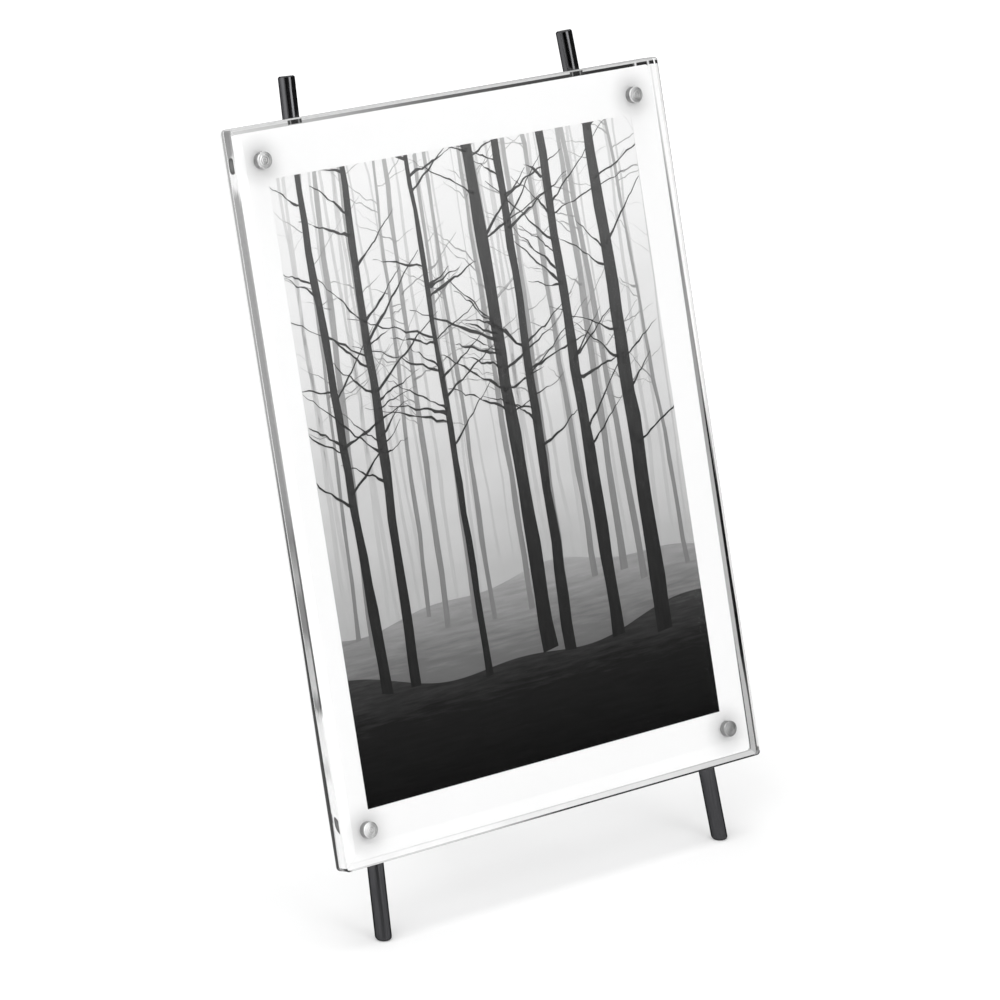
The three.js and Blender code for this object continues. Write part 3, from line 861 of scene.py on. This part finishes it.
# A soft grey halo of painted shadow darkens the sheet round each magnet.
photo_paper, paper_tree, paper_shader = satin_paper("satin_photo_paper")
paper_cloud = blotches(paper_tree, on_stand(paper_tree), (40, 40, 40))
paper_tone = add_node(paper_tree, "ShaderNodeValToRGB", paper_cloud, stops=((0, "fafafa"), (1, "fdfdfd")))
shadow_shift, shadow_start, shadow_end = 0.3, 1.5, 9.0
shaded = from_magnet(paper_tree, on_stand(paper_tree), shadow_shift, shadow_shift)
unshadowed = add_node(
    paper_tree, "ShaderNodeMapRange", shaded, shadow_start, shadow_end, 0.0, 1.0,
    interpolation_type="SMOOTHSTEP",
)
paper_base = add_node(paper_tree, "ShaderNodeMix", unshadowed, "e4e4e4", paper_tone, data_type="RGBA")
feed(paper_tree, paper_base, paper_shader, "Base Color")
sheet_rings = [
    rounded_outline(
        panel_width / 2 - sheet_inset - inset, panel_height / 2 - sheet_inset - inset, sheet_corner, y
    )
    for inset, y in (
        (sheet_edge, 0), (0, -sheet_edge), (0, sheet_edge - sheet_thickness), (sheet_edge, -sheet_thickness)
    )
]
sheet_place = stand @ Matrix.Translation((sheet_shift, sheet_back, panel_middle))
sheet = skin_over("photo_paper_sheet", sheet_rings, sheet_place, photo_paper)
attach(sheet, "print")
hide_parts("photo_sheet")


def picture_tree(name, stops, streak_sizes, streak_share):
    """Ink whose tone follows the height in the picture, from 0 at its foot to 1 at its top."""
    material, tree, shader = satin_paper(name)
    place = on_stand(tree)
    share = add_node(
        tree, "ShaderNodeMapRange", add_node(tree, "ShaderNodeSeparateXYZ", place).outputs[2],
        -picture_height / 2, picture_height / 2,
    )
    streaks = blotches(tree, place, streak_sizes, 4.0, 0.6)
    ink_tone = add_node(tree, "ShaderNodeValToRGB", swayed(tree, share, streaks, streak_share), stops=stops)
    feed(tree, ink_tone, shader, "Base Color")
    return material


def ink_plate(name, height_at, layer, material, columns=90):
    """A film of ink across the picture, from its foot up to a height for each place across."""
    rings = []
    for column in range(columns + 1):
        x = picture_width * (column / columns - 0.5)
        top = height_at(x)
        rings.append([
            (x, y, z) for y, z in (
                (-sheet_thickness - ink_step * layer, 0), (-sheet_thickness - ink_step * (layer - 1), 0),
                (-sheet_thickness - ink_step * (layer - 1), top), (-sheet_thickness - ink_step * layer, top),
            )
        ])
    place = stand @ Matrix.Translation((0, sheet_back, panel_middle - picture_height / 2))
    film = skin_over(name, rings, place, material)
    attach(film, "print")


mist = picture_tree(
    "printed_mist", ((0, "8a8a8a"), (0.3, "b4b4b4"), (0.55, "d6d6d6"), (0.8, "ededed"), (1, "f6f6f6")),
    (60, 60, 26), 0.25,
)
ink_plate("picture_mist", lambda x: picture_height, layer=1, material=mist, columns=2)
ground_far = picture_tree(
    "printed_far_ground", ((0, "3c3c3c"), (0.2, "6c6c6c"), (0.3, "9a9a9a"), (0.36, "b0b0b0")), (14, 14, 1.4),
    0.12,
)
ink_plate(
    "picture_far_ground", lambda x: 52 + 3.2 * math.sin(x / 23 + 1) + 1.2 * math.sin(x / 7.3),
    layer=3, material=ground_far,
)
ground_near = picture_tree(
    "printed_near_ground", ((0, "0c0c0c"), (0.12, "1c1c1c"), (0.2, "3a3a3a"), (0.26, "585858")), (9, 9, 0.9),
    0.12,
)
ink_plate(
    "picture_near_ground", lambda x: 34 + 4.5 * math.sin(x / 31 - 1.4) + 1.5 * math.sin(x / 9.1 + 2),
    layer=5, material=ground_near,
)


# Bare trunks stand in the mist, row behind row, each row paler than the one before it. A rule spaces
# them across the picture, tapers and bends each a little, and sets its branches.
def group_tree(name, inputs):
    """An empty Geometry Nodes tree with named inputs, given as (name, socket type) pairs."""
    tree = bpy.data.node_groups.new(name, "GeometryNodeTree")
    for label, kind in inputs:
        tree.interface.new_socket(label, in_out="INPUT", socket_type=kind)
    tree.interface.new_socket("Geometry", in_out="OUTPUT", socket_type="NodeSocketGeometry")
    return tree, add_node(tree, "NodeGroupInput").outputs


def finish_group(tree, geometry, material):
    """Makes what the tree grew real, gives it its material and ends the tree."""
    real = add_node(tree, "GeometryNodeRealizeInstances", geometry)
    dressed = add_node(tree, "GeometryNodeSetMaterial", real, named={"Material": material})
    add_node(tree, "NodeGroupOutput", dressed)


def grown(name, tree, settings, place, start=None):
    """The object that a Geometry Nodes tree makes of a starting mesh, moved to its place."""
    seedling = bpy.data.objects.new(name, start or bpy.data.meshes.new(name))
    bpy.context.scene.collection.objects.link(seedling)
    growth = seedling.modifiers.new("growth", "NODES")
    growth.node_group = tree
    for socket in tree.interface.items_tree:
        if socket.item_type == "SOCKET" and socket.in_out == "INPUT" and socket.name in settings:
            growth[socket.identifier] = settings[socket.name]
    mesh = bpy.data.meshes.new_from_object(seedling.evaluated_get(bpy.context.evaluated_depsgraph_get()))
    bpy.data.objects.remove(seedling)
    mesh.transform(place)
    return linked_object(name, mesh, settings["Material"])


def stroke(tree, rows, narrowing):
    """An upright bar of unit size, from 0 to 1 in Z, that narrows as it rises."""
    bar = add_node(tree, "GeometryNodeMeshCube", (1, 1, 1), 2, 2, rows)
    x, y, z = add_node(tree, "ShaderNodeSeparateXYZ", add_node(tree, "GeometryNodeInputPosition")).outputs
    height = add_node(tree, "ShaderNodeMath", z, 0.5, operation="ADD")
    kept_share = add_node(
        tree, "ShaderNodeMath", 1.0,
        add_node(tree, "ShaderNodeMath", height, narrowing, operation="MULTIPLY"), operation="SUBTRACT",
    )
    point = add_node(
        tree, "ShaderNodeCombineXYZ", add_node(tree, "ShaderNodeMath", x, kept_share, operation="MULTIPLY"),
        y, height,
    )
    return add_node(tree, "GeometryNodeSetPosition", bar, named={"Position": point})


def row_of_trunks():
    """The tree of one row. Each trunk and branch is a stroke of film on the picture, and two waves
    make them all crooked."""
    tree, given = group_tree("row_of_trunks", (
        ("Trunks", "NodeSocketInt"), ("Branches", "NodeSocketInt"), ("Width", "NodeSocketFloat"),
        ("Height", "NodeSocketFloat"), ("Foot", "NodeSocketFloat"), ("Trunk width", "NodeSocketFloat"),
        ("Branch length", "NodeSocketFloat"), ("Film", "NodeSocketFloat"), ("Lean", "NodeSocketFloat"),
        ("Seed", "NodeSocketInt"), ("Material", "NodeSocketMaterial"),
    ))
    seed = given["Seed"]

    def drawn(low, high, number, place, kind="FLOAT"):
        """A draw between two limits, by a number and by its own place after the seed of the row."""
        return add_node(
            tree, "FunctionNodeRandomValue", low, high, number,
            add_node(tree, "ShaderNodeMath", seed, place, operation="ADD"), data_type=kind,
        )

    def root_of(number):
        """Where a trunk stands: evenly spaced, moved a little to one side."""
        share = add_node(
            tree, "ShaderNodeMath",
            add_node(tree, "ShaderNodeMath", number, drawn(0.12, 0.88, number, 0), operation="ADD"),
            given["Trunks"], operation="DIVIDE",
        )
        return add_node(
            tree, "ShaderNodeMath", add_node(tree, "ShaderNodeMath", share, 0.5, operation="SUBTRACT"),
            given["Width"], operation="MULTIPLY",
        )

    def foot_of(number):
        """The height at which a trunk starts."""
        return add_node(tree, "ShaderNodeMath", given["Foot"], drawn(-3.0, 3.0, number, 1), operation="ADD")

    def lean_of(number):
        """How far a trunk leans to one side."""
        return add_node(
            tree, "ShaderNodeMath", drawn(-1.0, 1.0, number, 2), given["Lean"], operation="MULTIPLY",
        )

    index = add_node(tree, "GeometryNodeInputIndex")
    root_points = add_node(tree, "ShaderNodeCombineXYZ", root_of(index), 0.0, foot_of(index))
    roots = add_node(tree, "GeometryNodePoints", given["Trunks"], root_points)
    thickness = add_node(
        tree, "ShaderNodeMath", given["Trunk width"], drawn(0.45, 1.3, index, 3), operation="MULTIPLY",
    )
    reach = add_node(tree, "ShaderNodeMath", given["Height"], 1.02, operation="MULTIPLY")
    trunks = add_node(
        tree, "GeometryNodeInstanceOnPoints", roots,
        named={
            "Instance": stroke(tree, rows=24, narrowing=0.5),
            "Rotation": add_node(tree, "ShaderNodeCombineXYZ", 0.0, lean_of(index), 0.0),
            "Scale": add_node(tree, "ShaderNodeCombineXYZ", thickness, given["Film"], reach),
        },
    )

    bearer = drawn(
        0, add_node(tree, "ShaderNodeMath", given["Trunks"], 1, operation="SUBTRACT"), index, 4, "INT",
    )
    up = add_node(tree, "ShaderNodeMath", drawn(0.3, 0.97, index, 5), given["Height"], operation="MULTIPLY")
    beside = add_node(
        tree, "ShaderNodeMath", up, add_node(tree, "ShaderNodeMath", lean_of(bearer), operation="TANGENT"),
        operation="MULTIPLY",
    )
    fork_x, fork_z = (
        add_node(tree, "ShaderNodeMath", root_of(bearer), beside, operation="ADD"),
        add_node(tree, "ShaderNodeMath", foot_of(bearer), up, operation="ADD"),
    )
    fork_points = add_node(tree, "ShaderNodeCombineXYZ", fork_x, 0.0, fork_z)
    forks = add_node(tree, "GeometryNodePoints", given["Branches"], fork_points)
    side = add_node(tree, "ShaderNodeMath", drawn(-1.0, 1.0, index, 6), operation="SIGN")
    spread = add_node(tree, "ShaderNodeMath", side, drawn(0.7, 1.35, index, 7), operation="MULTIPLY")
    length = add_node(
        tree, "ShaderNodeMath", given["Branch length"], drawn(0.3, 1.2, index, 8), operation="MULTIPLY",
    )
    branch_width = add_node(
        tree, "ShaderNodeMath", given["Trunk width"], drawn(0.1, 0.24, index, 9), operation="MULTIPLY",
    )
    branches = add_node(
        tree, "GeometryNodeInstanceOnPoints", forks,
        named={
            "Instance": stroke(tree, rows=16, narrowing=0.85),
            "Rotation": add_node(tree, "ShaderNodeCombineXYZ", 0.0, spread, 0.0),
            "Scale": add_node(tree, "ShaderNodeCombineXYZ", branch_width, given["Film"], length),
        },
    )

    gathered = add_node(tree, "GeometryNodeJoinGeometry", trunks)
    feed(tree, branches, gathered, 0)
    loose = add_node(tree, "GeometryNodeRealizeInstances", gathered)
    place = add_node(tree, "GeometryNodeInputPosition")
    x, y, z = add_node(tree, "ShaderNodeSeparateXYZ", place).outputs
    waves, crooks = blotches(tree, place, (9, 1, 24)), blotches(tree, place, (3.5, 1, 3.5), 1.0)
    waved = swayed(tree, swayed(tree, x, waves, 2.6), crooks, 1.1)
    raised = swayed(tree, z, crooks, 3.2)
    half_width = add_node(tree, "ShaderNodeMath", given["Width"], 0.5, operation="MULTIPLY")
    left_limit = add_node(tree, "ShaderNodeMath", half_width, -1.0, operation="MULTIPLY")
    in_width = add_node(
        tree, "ShaderNodeMath", add_node(tree, "ShaderNodeMath", waved, half_width, operation="MINIMUM"),
        left_limit, operation="MAXIMUM",
    )
    point = add_node(
        tree, "ShaderNodeCombineXYZ", in_width, y,
        add_node(tree, "ShaderNodeMath", raised, given["Height"], operation="MINIMUM"),
    )
    kept = add_node(tree, "GeometryNodeSetPosition", loose, named={"Position": point})
    finish_group(tree, kept, given["Material"])
    return tree


trunks_tree = row_of_trunks()
for row, (count, branches, foot, trunk_width, branch_length, layer, lean_degrees, stops) in enumerate((
    (30, 150, 42, 1.3, 12, 2, 2.0, ((0, "9a9a9a"), (0.5, "c0c0c0"), (1, "dedede"))),
    (15, 170, 46, 2.3, 20, 4, 2.5, ((0, "606060"), (0.5, "8c8c8c"), (1, "bababa"))),
    (7, 130, 28, 4.4, 30, 6, 1.6, ((0, "161616"), (0.4, "303030"), (1, "606060"))),
)):
    bark = picture_tree(f"printed_trunks_{row + 1}", stops, (1.2, 1.2, 7), 0.3)
    trunks = grown(f"picture_trunks_{row + 1}", trunks_tree, {
        "Trunks": count, "Branches": branches, "Width": float(picture_width), "Height": float(picture_height),
        "Foot": float(foot), "Trunk width": trunk_width, "Branch length": float(branch_length),
        "Film": ink_step * 0.9, "Lean": math.radians(lean_degrees), "Seed": 11 + row, "Material": bark,
    }, stand @ Matrix.Translation((
        0, sheet_back - sheet_thickness - ink_step * (layer - 0.5), panel_middle - picture_height / 2,
    )))
    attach(trunks, "print")


# Eight disc magnets are sintered, ground and nickel plated. The front ones stand a little proud of the
# clear panel, and their ends keep the fine rings of the grinding under the plate. Each disc has a painted
# highlight at its left and painted shade towards its right rim, deepest on the discs at the lower right
# corner, and painted shade on its side where it sits in the panels.
def beside_magnet(tree, place):
    """How far a point lies to the right of the axis of the nearest magnet, and how far above it."""
    x, _, z = add_node(tree, "ShaderNodeSeparateXYZ", place).outputs
    return [
        add_node(
            tree, "ShaderNodeMath", add_node(tree, "ShaderNodeMath", value, operation="SIGN"),
            magnet_inset - size / 2, value, operation="MULTIPLY_ADD",
        )
        for value, size in ((x, panel_width), (z, panel_height))
    ]


nickel_plate, nickel_tree, nickel_shader = finish_of("nickel_plate", Metallic=1.0)
nickel_place = on_stand(nickel_tree)
nickel_cloud = blotches(nickel_tree, nickel_place, (1.1, 1.1, 1.1), 3.0, 0.6)
off_axis = from_magnet(nickel_tree, nickel_place)
to_right, above = beside_magnet(nickel_tree, nickel_place)
nickel_x, nickel_y, nickel_z = add_node(nickel_tree, "ShaderNodeSeparateXYZ", nickel_place).outputs
at_right = add_node(nickel_tree, "ShaderNodeMath", nickel_x, 0.0, operation="GREATER_THAN")
# Painted shade: the discs at the lower right corner are painted a darker grey.
shaded_corner = add_node(
    nickel_tree, "ShaderNodeMath", at_right,
    add_node(nickel_tree, "ShaderNodeMath", nickel_z, 0.0, operation="LESS_THAN"), operation="MULTIPLY",
)
pale_grey = add_node(
    nickel_tree, "ShaderNodeValToRGB", nickel_cloud, stops=((0.3, "a8a8a8"), (0.7, "d0d0d0")),
)
corner_shade_grey = add_node(
    nickel_tree, "ShaderNodeValToRGB", nickel_cloud, stops=((0.3, "888888"), (0.7, "aaaaaa")),
)
painted_shade_tone = add_node(nickel_tree, "ShaderNodeMix", shaded_corner, pale_grey, corner_shade_grey, data_type="RGBA")
# Painted highlight at the left of each face, fading to painted shade towards the right.
painted_highlight_tone = add_node(nickel_tree, "ShaderNodeMix", shaded_corner, "f6f6f6", "b8b8b8", data_type="RGBA")
across_face = add_node(nickel_tree, "ShaderNodeMath", above, -0.5, to_right, operation="MULTIPLY_ADD")
past_highlight = add_node(
    nickel_tree, "ShaderNodeMath", nickel_cloud, 2.4, across_face, operation="MULTIPLY_ADD",
)
shade_share = add_node(
    nickel_tree, "ShaderNodeMapRange", past_highlight, -0.8, 1.8, 0.0, 1.0, interpolation_type="SMOOTHSTEP",
)
nickel_tone = add_node(nickel_tree, "ShaderNodeMix", shade_share, painted_highlight_tone, painted_shade_tone, data_type="RGBA")
# Painted shade along the right part of each rim.
near_rim = add_node(nickel_tree, "ShaderNodeMapRange", off_axis, magnet_radius - 0.9, magnet_radius - 0.4)
right_rim_shade = add_node(
    nickel_tree, "ShaderNodeMath", near_rim,
    add_node(nickel_tree, "ShaderNodeMapRange", to_right, 0.0, 1.2, 0.0, 0.5), operation="MULTIPLY",
)
nickel_tone = add_node(nickel_tree, "ShaderNodeMix", right_rim_shade, nickel_tone, "7c7c7c", data_type="RGBA")
# Painted shade on the side of each disc where it sits in the panels.
at_rim = add_node(nickel_tree, "ShaderNodeMapRange", off_axis, magnet_radius - 0.2, magnet_radius - 0.04)
behind_face = add_node(
    nickel_tree, "ShaderNodeMath", nickel_y, front_back - front_thickness, operation="GREATER_THAN",
)
bore_shade = add_node(nickel_tree, "ShaderNodeMath", at_rim, behind_face, operation="MULTIPLY")
nickel_base = add_node(nickel_tree, "ShaderNodeMix", bore_shade, nickel_tone, "a0a0a0", data_type="RGBA")
nickel_roughness = add_node(nickel_tree, "ShaderNodeMapRange", nickel_cloud, 0.3, 0.7, 0.32, 0.46)
feed(nickel_tree, nickel_base, nickel_shader, "Base Color")
feed(nickel_tree, nickel_roughness, nickel_shader, "Roughness")
nickel_bump = add_node(
    nickel_tree, "ShaderNodeBump", named={"Height": nickel_cloud, "Strength": 0.6, "Distance": 0.0003},
)
feed(nickel_tree, nickel_bump, nickel_shader, "Normal")
disc_sides, rim_steps, rim, disc_proud = 72, 4, 0.3, 0.3


def turned_rings(profile, sides):
    """Rings about the local Y axis, from (radius, y) pairs with falling y."""
    turns = [2 * math.pi * side / sides for side in range(sides)]
    return [
        [(radius * math.cos(turn), y, radius * math.sin(turn)) for turn in turns] for radius, y in profile
    ]


def disc_profile(length):
    """A disc with rounded rims, whose front end has three shallow rings."""
    ring_count, ring_depth, points_a_ring = 3, 0.05, 8
    arc = [math.pi / 2 * step / rim_steps for step in range(rim_steps + 1)]
    face = magnet_radius - rim
    points = [(face + rim * math.sin(turn), -rim * (1 - math.cos(turn))) for turn in arc]
    points += [(face + rim * math.cos(turn), -length + rim * (1 - math.sin(turn))) for turn in arc]
    for step in range(1, points_a_ring * ring_count):
        share = step / (points_a_ring * ring_count)
        wave = (1 - math.cos(2 * math.pi * ring_count * share)) / 2
        points.append((face * (1 - share), -length + ring_depth * wave))
    return points


def four_places():
    """Sets the starting mesh at four corners, which may draw in as they rise, as the legs do."""
    tree, given = group_tree("four_places", (
        ("Piece", "NodeSocketGeometry"), ("Width", "NodeSocketFloat"), ("Height", "NodeSocketFloat"),
        ("Narrowing", "NodeSocketFloat"), ("Material", "NodeSocketMaterial"),
    ))
    corners = add_node(tree, "GeometryNodeMeshGrid", given["Width"], given["Height"], 2, 2)
    x, y, _ = add_node(tree, "ShaderNodeSeparateXYZ", add_node(tree, "GeometryNodeInputPosition")).outputs
    kept_share = add_node(
        tree, "ShaderNodeMath", 1.0,
        add_node(tree, "ShaderNodeMath", y, given["Narrowing"], operation="MULTIPLY"), operation="SUBTRACT",
    )
    point = add_node(
        tree, "ShaderNodeCombineXYZ", add_node(tree, "ShaderNodeMath", x, kept_share, operation="MULTIPLY"),
        0.0, y,
    )
    standing = add_node(tree, "GeometryNodeSetPosition", corners, named={"Position": point})
    placed = add_node(tree, "GeometryNodeInstanceOnPoints", standing, named={"Instance": given["Piece"]})
    finish_group(tree, placed, given["Material"])
    return tree


def mesh_of(obj):
    """Takes an object away and keeps its mesh."""
    mesh = obj.data
    bpy.data.objects.remove(obj)
    return mesh


corner_tree = four_places()
corner_names = ("top_left", "top_right", "bottom_left", "bottom_right")
for side, body, length, back in (
    ("front", "front_cover", front_thickness + disc_proud, front_back),
    ("rear", "stand", rear_thickness, rear_back),
):
    disc = skin_over(f"disc_{side}", turned_rings(disc_profile(length), disc_sides), Matrix(), nickel_plate)
    discs = grown(f"magnet_discs_{side}", corner_tree, {
        "Width": panel_width - 2.0 * magnet_inset, "Height": panel_height - 2.0 * magnet_inset,
        "Narrowing": 0.0, "Material": nickel_plate,
    }, stand @ Matrix.Translation((0, back, panel_middle)), mesh_of(disc))
    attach(discs, body)
    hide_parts(*[f"magnet_{side}_{corner}" for corner in corner_names])


# The legs are drawn steel rod with bright black nickel plate, which shows the room as long dark and
# pale stripes along fine drawing lines, and is darker and rougher near the feet. The feet are cut level
# with the table and rounded, and the upper ends are square with a small chamfer.
black_nickel, rod_tree, rod_shader = finish_of("black_nickel_plate", Metallic=1.0, Specular_Tint="606060")
draw_lines = blotches(rod_tree, on_stand(rod_tree), (0.25, 0.25, 45), 3.0, 0.6)
rod_cloud = blotches(rod_tree, on_stand(rod_tree), (9, 9, 9), 2.0)
rod_height = add_node(rod_tree, "ShaderNodeSeparateXYZ", on_stand(rod_tree)).outputs[2]
plate_tone = add_node(rod_tree, "ShaderNodeValToRGB", draw_lines, stops=((0.3, "5e5e60"), (0.7, "6a6a6c")))
foot_tone = add_node(rod_tree, "ShaderNodeValToRGB", draw_lines, stops=((0.3, "464648"), (0.7, "545456")))
foot_zone_from, foot_zone_to = -panel_height / 2 - 8, -panel_height / 2 + 20
low_share = add_node(rod_tree, "ShaderNodeMapRange", rod_height, foot_zone_from, foot_zone_to, 1.0, 0.0)
rod_base = add_node(rod_tree, "ShaderNodeMix", low_share, plate_tone, foot_tone, data_type="RGBA")
feed(rod_tree, rod_base, rod_shader, "Base Color")
rod_wear = add_node(rod_tree, "ShaderNodeMapRange", rod_height, foot_zone_from, foot_zone_to, 0.06, 0.0)
rod_polish = add_node(rod_tree, "ShaderNodeMapRange", rod_cloud, 0.3, 0.7, 0.1, 0.16)
rod_roughness = add_node(rod_tree, "ShaderNodeMath", rod_wear, rod_polish, operation="ADD")
feed(rod_tree, rod_roughness, rod_shader, "Roughness")
rod_bump = add_node(
    rod_tree, "ShaderNodeBump", named={"Height": draw_lines, "Strength": 0.1, "Distance": 0.0002},
)
feed(rod_tree, rod_bump, rod_shader, "Normal")
foot_rounding, leg_chamfer, leg_sides, foot_steps = 1.0, 0.4, 96, 8


def footed_rod(name, place, length, body, node):
    """A round rod along the local Z axis from the table, with its foot cut level and its rim rounded."""
    table_normal = (place.to_3x3().inverted() @ Vector((0, 0, 1))).normalized()
    turns = [2 * math.pi * side / leg_sides for side in range(leg_sides)]

    def ring(radius, height_at):
        sides = [(radius * math.cos(turn), radius * math.sin(turn)) for turn in turns]
        return [(x, y, height_at(x, y)) for x, y in sides]

    rings = []
    for step in range(foot_steps + 1):
        turn = math.pi / 2 * step / foot_steps
        lift = foot_rounding * (1 - math.cos(turn))
        rings.append(ring(
            leg_radius - foot_rounding * (1 - math.sin(turn)),
            lambda x, y, lift=lift: (lift - table_normal.x * x - table_normal.y * y) / table_normal.z,
        ))
    rings.append(ring(leg_radius, lambda x, y: length - leg_chamfer))
    rings.append(ring(leg_radius - leg_chamfer, lambda x, y: length))
    rod = skin_over(name, rings, place, black_nickel)
    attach(rod, body)
    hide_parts(node)


leg_above_panel = 11.7
front_leg_length = (panel_above_feet + panel_height + leg_above_panel) / math.cos(splay)
for side, sign in (("left", -1), ("right", 1)):
    leg_place = stand @ Matrix.Translation((sign * foot_x, 0, 0)) @ Matrix.Rotation(-sign * splay, 4, "Y")
    footed_rod(f"front_leg_{side}", leg_place, front_leg_length, "stand", f"leg_{side}")

hinge = next(Vector(joint["pos_m"]) for joint in frame["joints"] if joint["name"] == "rear_leg_fold")
open_angle = math.atan2(rests["foot_rear"].y - hinge.y, hinge.z)
rear_place = Matrix.Translation(rests["foot_rear"]) @ Matrix.Rotation(open_angle, 4, "X") @ Matrix.Scale(
    0.001, 4,
)
socket_floor = 4.6
rear_length = hinge.z * 1000 / math.cos(open_angle) - socket_floor - seat_gap
footed_rod("rear_leg_rod", rear_place, rear_length, "rear_leg", "leg_rear")


# The crossbar, the stop collars and the hinge knuckle are plated like the legs. The bar is fixed to
# the back of both legs, the collars to the bar, and the knuckle turns on it between them. They keep the
# shapes of the frame, with their faces shaded smooth.
weld_distance = 0.000001


def dressed_copy(node, name, body):
    """A copy of a node, welded and in black nickel, that stands for it."""
    mesh = frame["nodes"][node].data.copy()
    shape = bmesh.new()
    shape.from_mesh(mesh)
    bmesh.ops.remove_doubles(shape, verts=shape.verts, dist=weld_distance)
    shape.to_mesh(mesh)
    shape.free()
    copy = linked_object(name, mesh, black_nickel)
    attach(copy, body)
    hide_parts(node)


dressed_copy("crossbar", "crossbar_rod", "stand")
dressed_copy("collar_left", "stop_collar_left", "stand")
dressed_copy("collar_right", "stop_collar_right", "stand")
dressed_copy("hinge_knuckle", "hinge_barrel", "rear_leg")


# Four countersunk machine screws of stainless steel hold the rear panel on the legs. Each has a
# hexagonal socket and a slightly rounded head edge, and fine turning marks make the steel look grey and
# a little uneven.
stainless, screw_tree, screw_shader = finish_of("stainless_steel", Metallic=1.0)
turning = blotches(screw_tree, on_stand(screw_tree), (0.3, 0.3, 0.3), 3.0)
steel_tone = add_node(screw_tree, "ShaderNodeValToRGB", turning, stops=((0.3, "8f8f8e"), (0.7, "b4b4b2")))
steel_roughness = add_node(screw_tree, "ShaderNodeMapRange", turning, 0.3, 0.7, 0.22, 0.36)
feed(screw_tree, steel_tone, screw_shader, "Base Color")
feed(screw_tree, steel_roughness, screw_shader, "Roughness")
screw_tip, screw_sides, socket_width, socket_depth, head_easing = 4.7, 48, 1.3, 0.7, 0.12
tip_chamfer, socket_chamfer = 0.2, 0.1
socket_radius = socket_width / math.sqrt(3)
screw_profile = (
    (screw_shank - tip_chamfer, screw_tip), (screw_shank, screw_tip - tip_chamfer),
    (screw_shank, screw_room + screw_head - screw_shank), (screw_head, screw_room + head_easing),
    (screw_head - head_easing, screw_room), (socket_radius + socket_chamfer, screw_room),
    (socket_radius, screw_room + socket_chamfer), (socket_radius, screw_room + socket_depth),
)


def hexagonal(ring):
    """Draws a round ring in to the six flats of a hexagon with the same corners."""
    drawn = []
    for x, y, z in ring:
        from_flat = math.atan2(z, x) % (math.pi / 3) - math.pi / 6
        share = math.cos(math.pi / 6) / math.cos(from_flat)
        drawn.append((x * share, y, z * share))
    return drawn


screw_rings = turned_rings(screw_profile, screw_sides)
screw_rings[-3:] = [hexagonal(ring) for ring in screw_rings[-3:]]
screw = skin_over("screw_start", screw_rings, Matrix(), stainless)
screw_mid = foot_x - panel_middle * math.tan(splay)
screws = grown("countersunk_screws", corner_tree, {
    "Width": 2 * screw_mid, "Height": panel_height - 2.0 * screw_from_edge,
    "Narrowing": math.tan(splay) / screw_mid, "Material": stainless,
}, stand @ Matrix.Translation((0, rear_back - rear_thickness, panel_middle)), mesh_of(screw))
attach(screws, "stand")
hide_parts("screw_lower_left", "screw_upper_left", "screw_lower_right", "screw_upper_right")
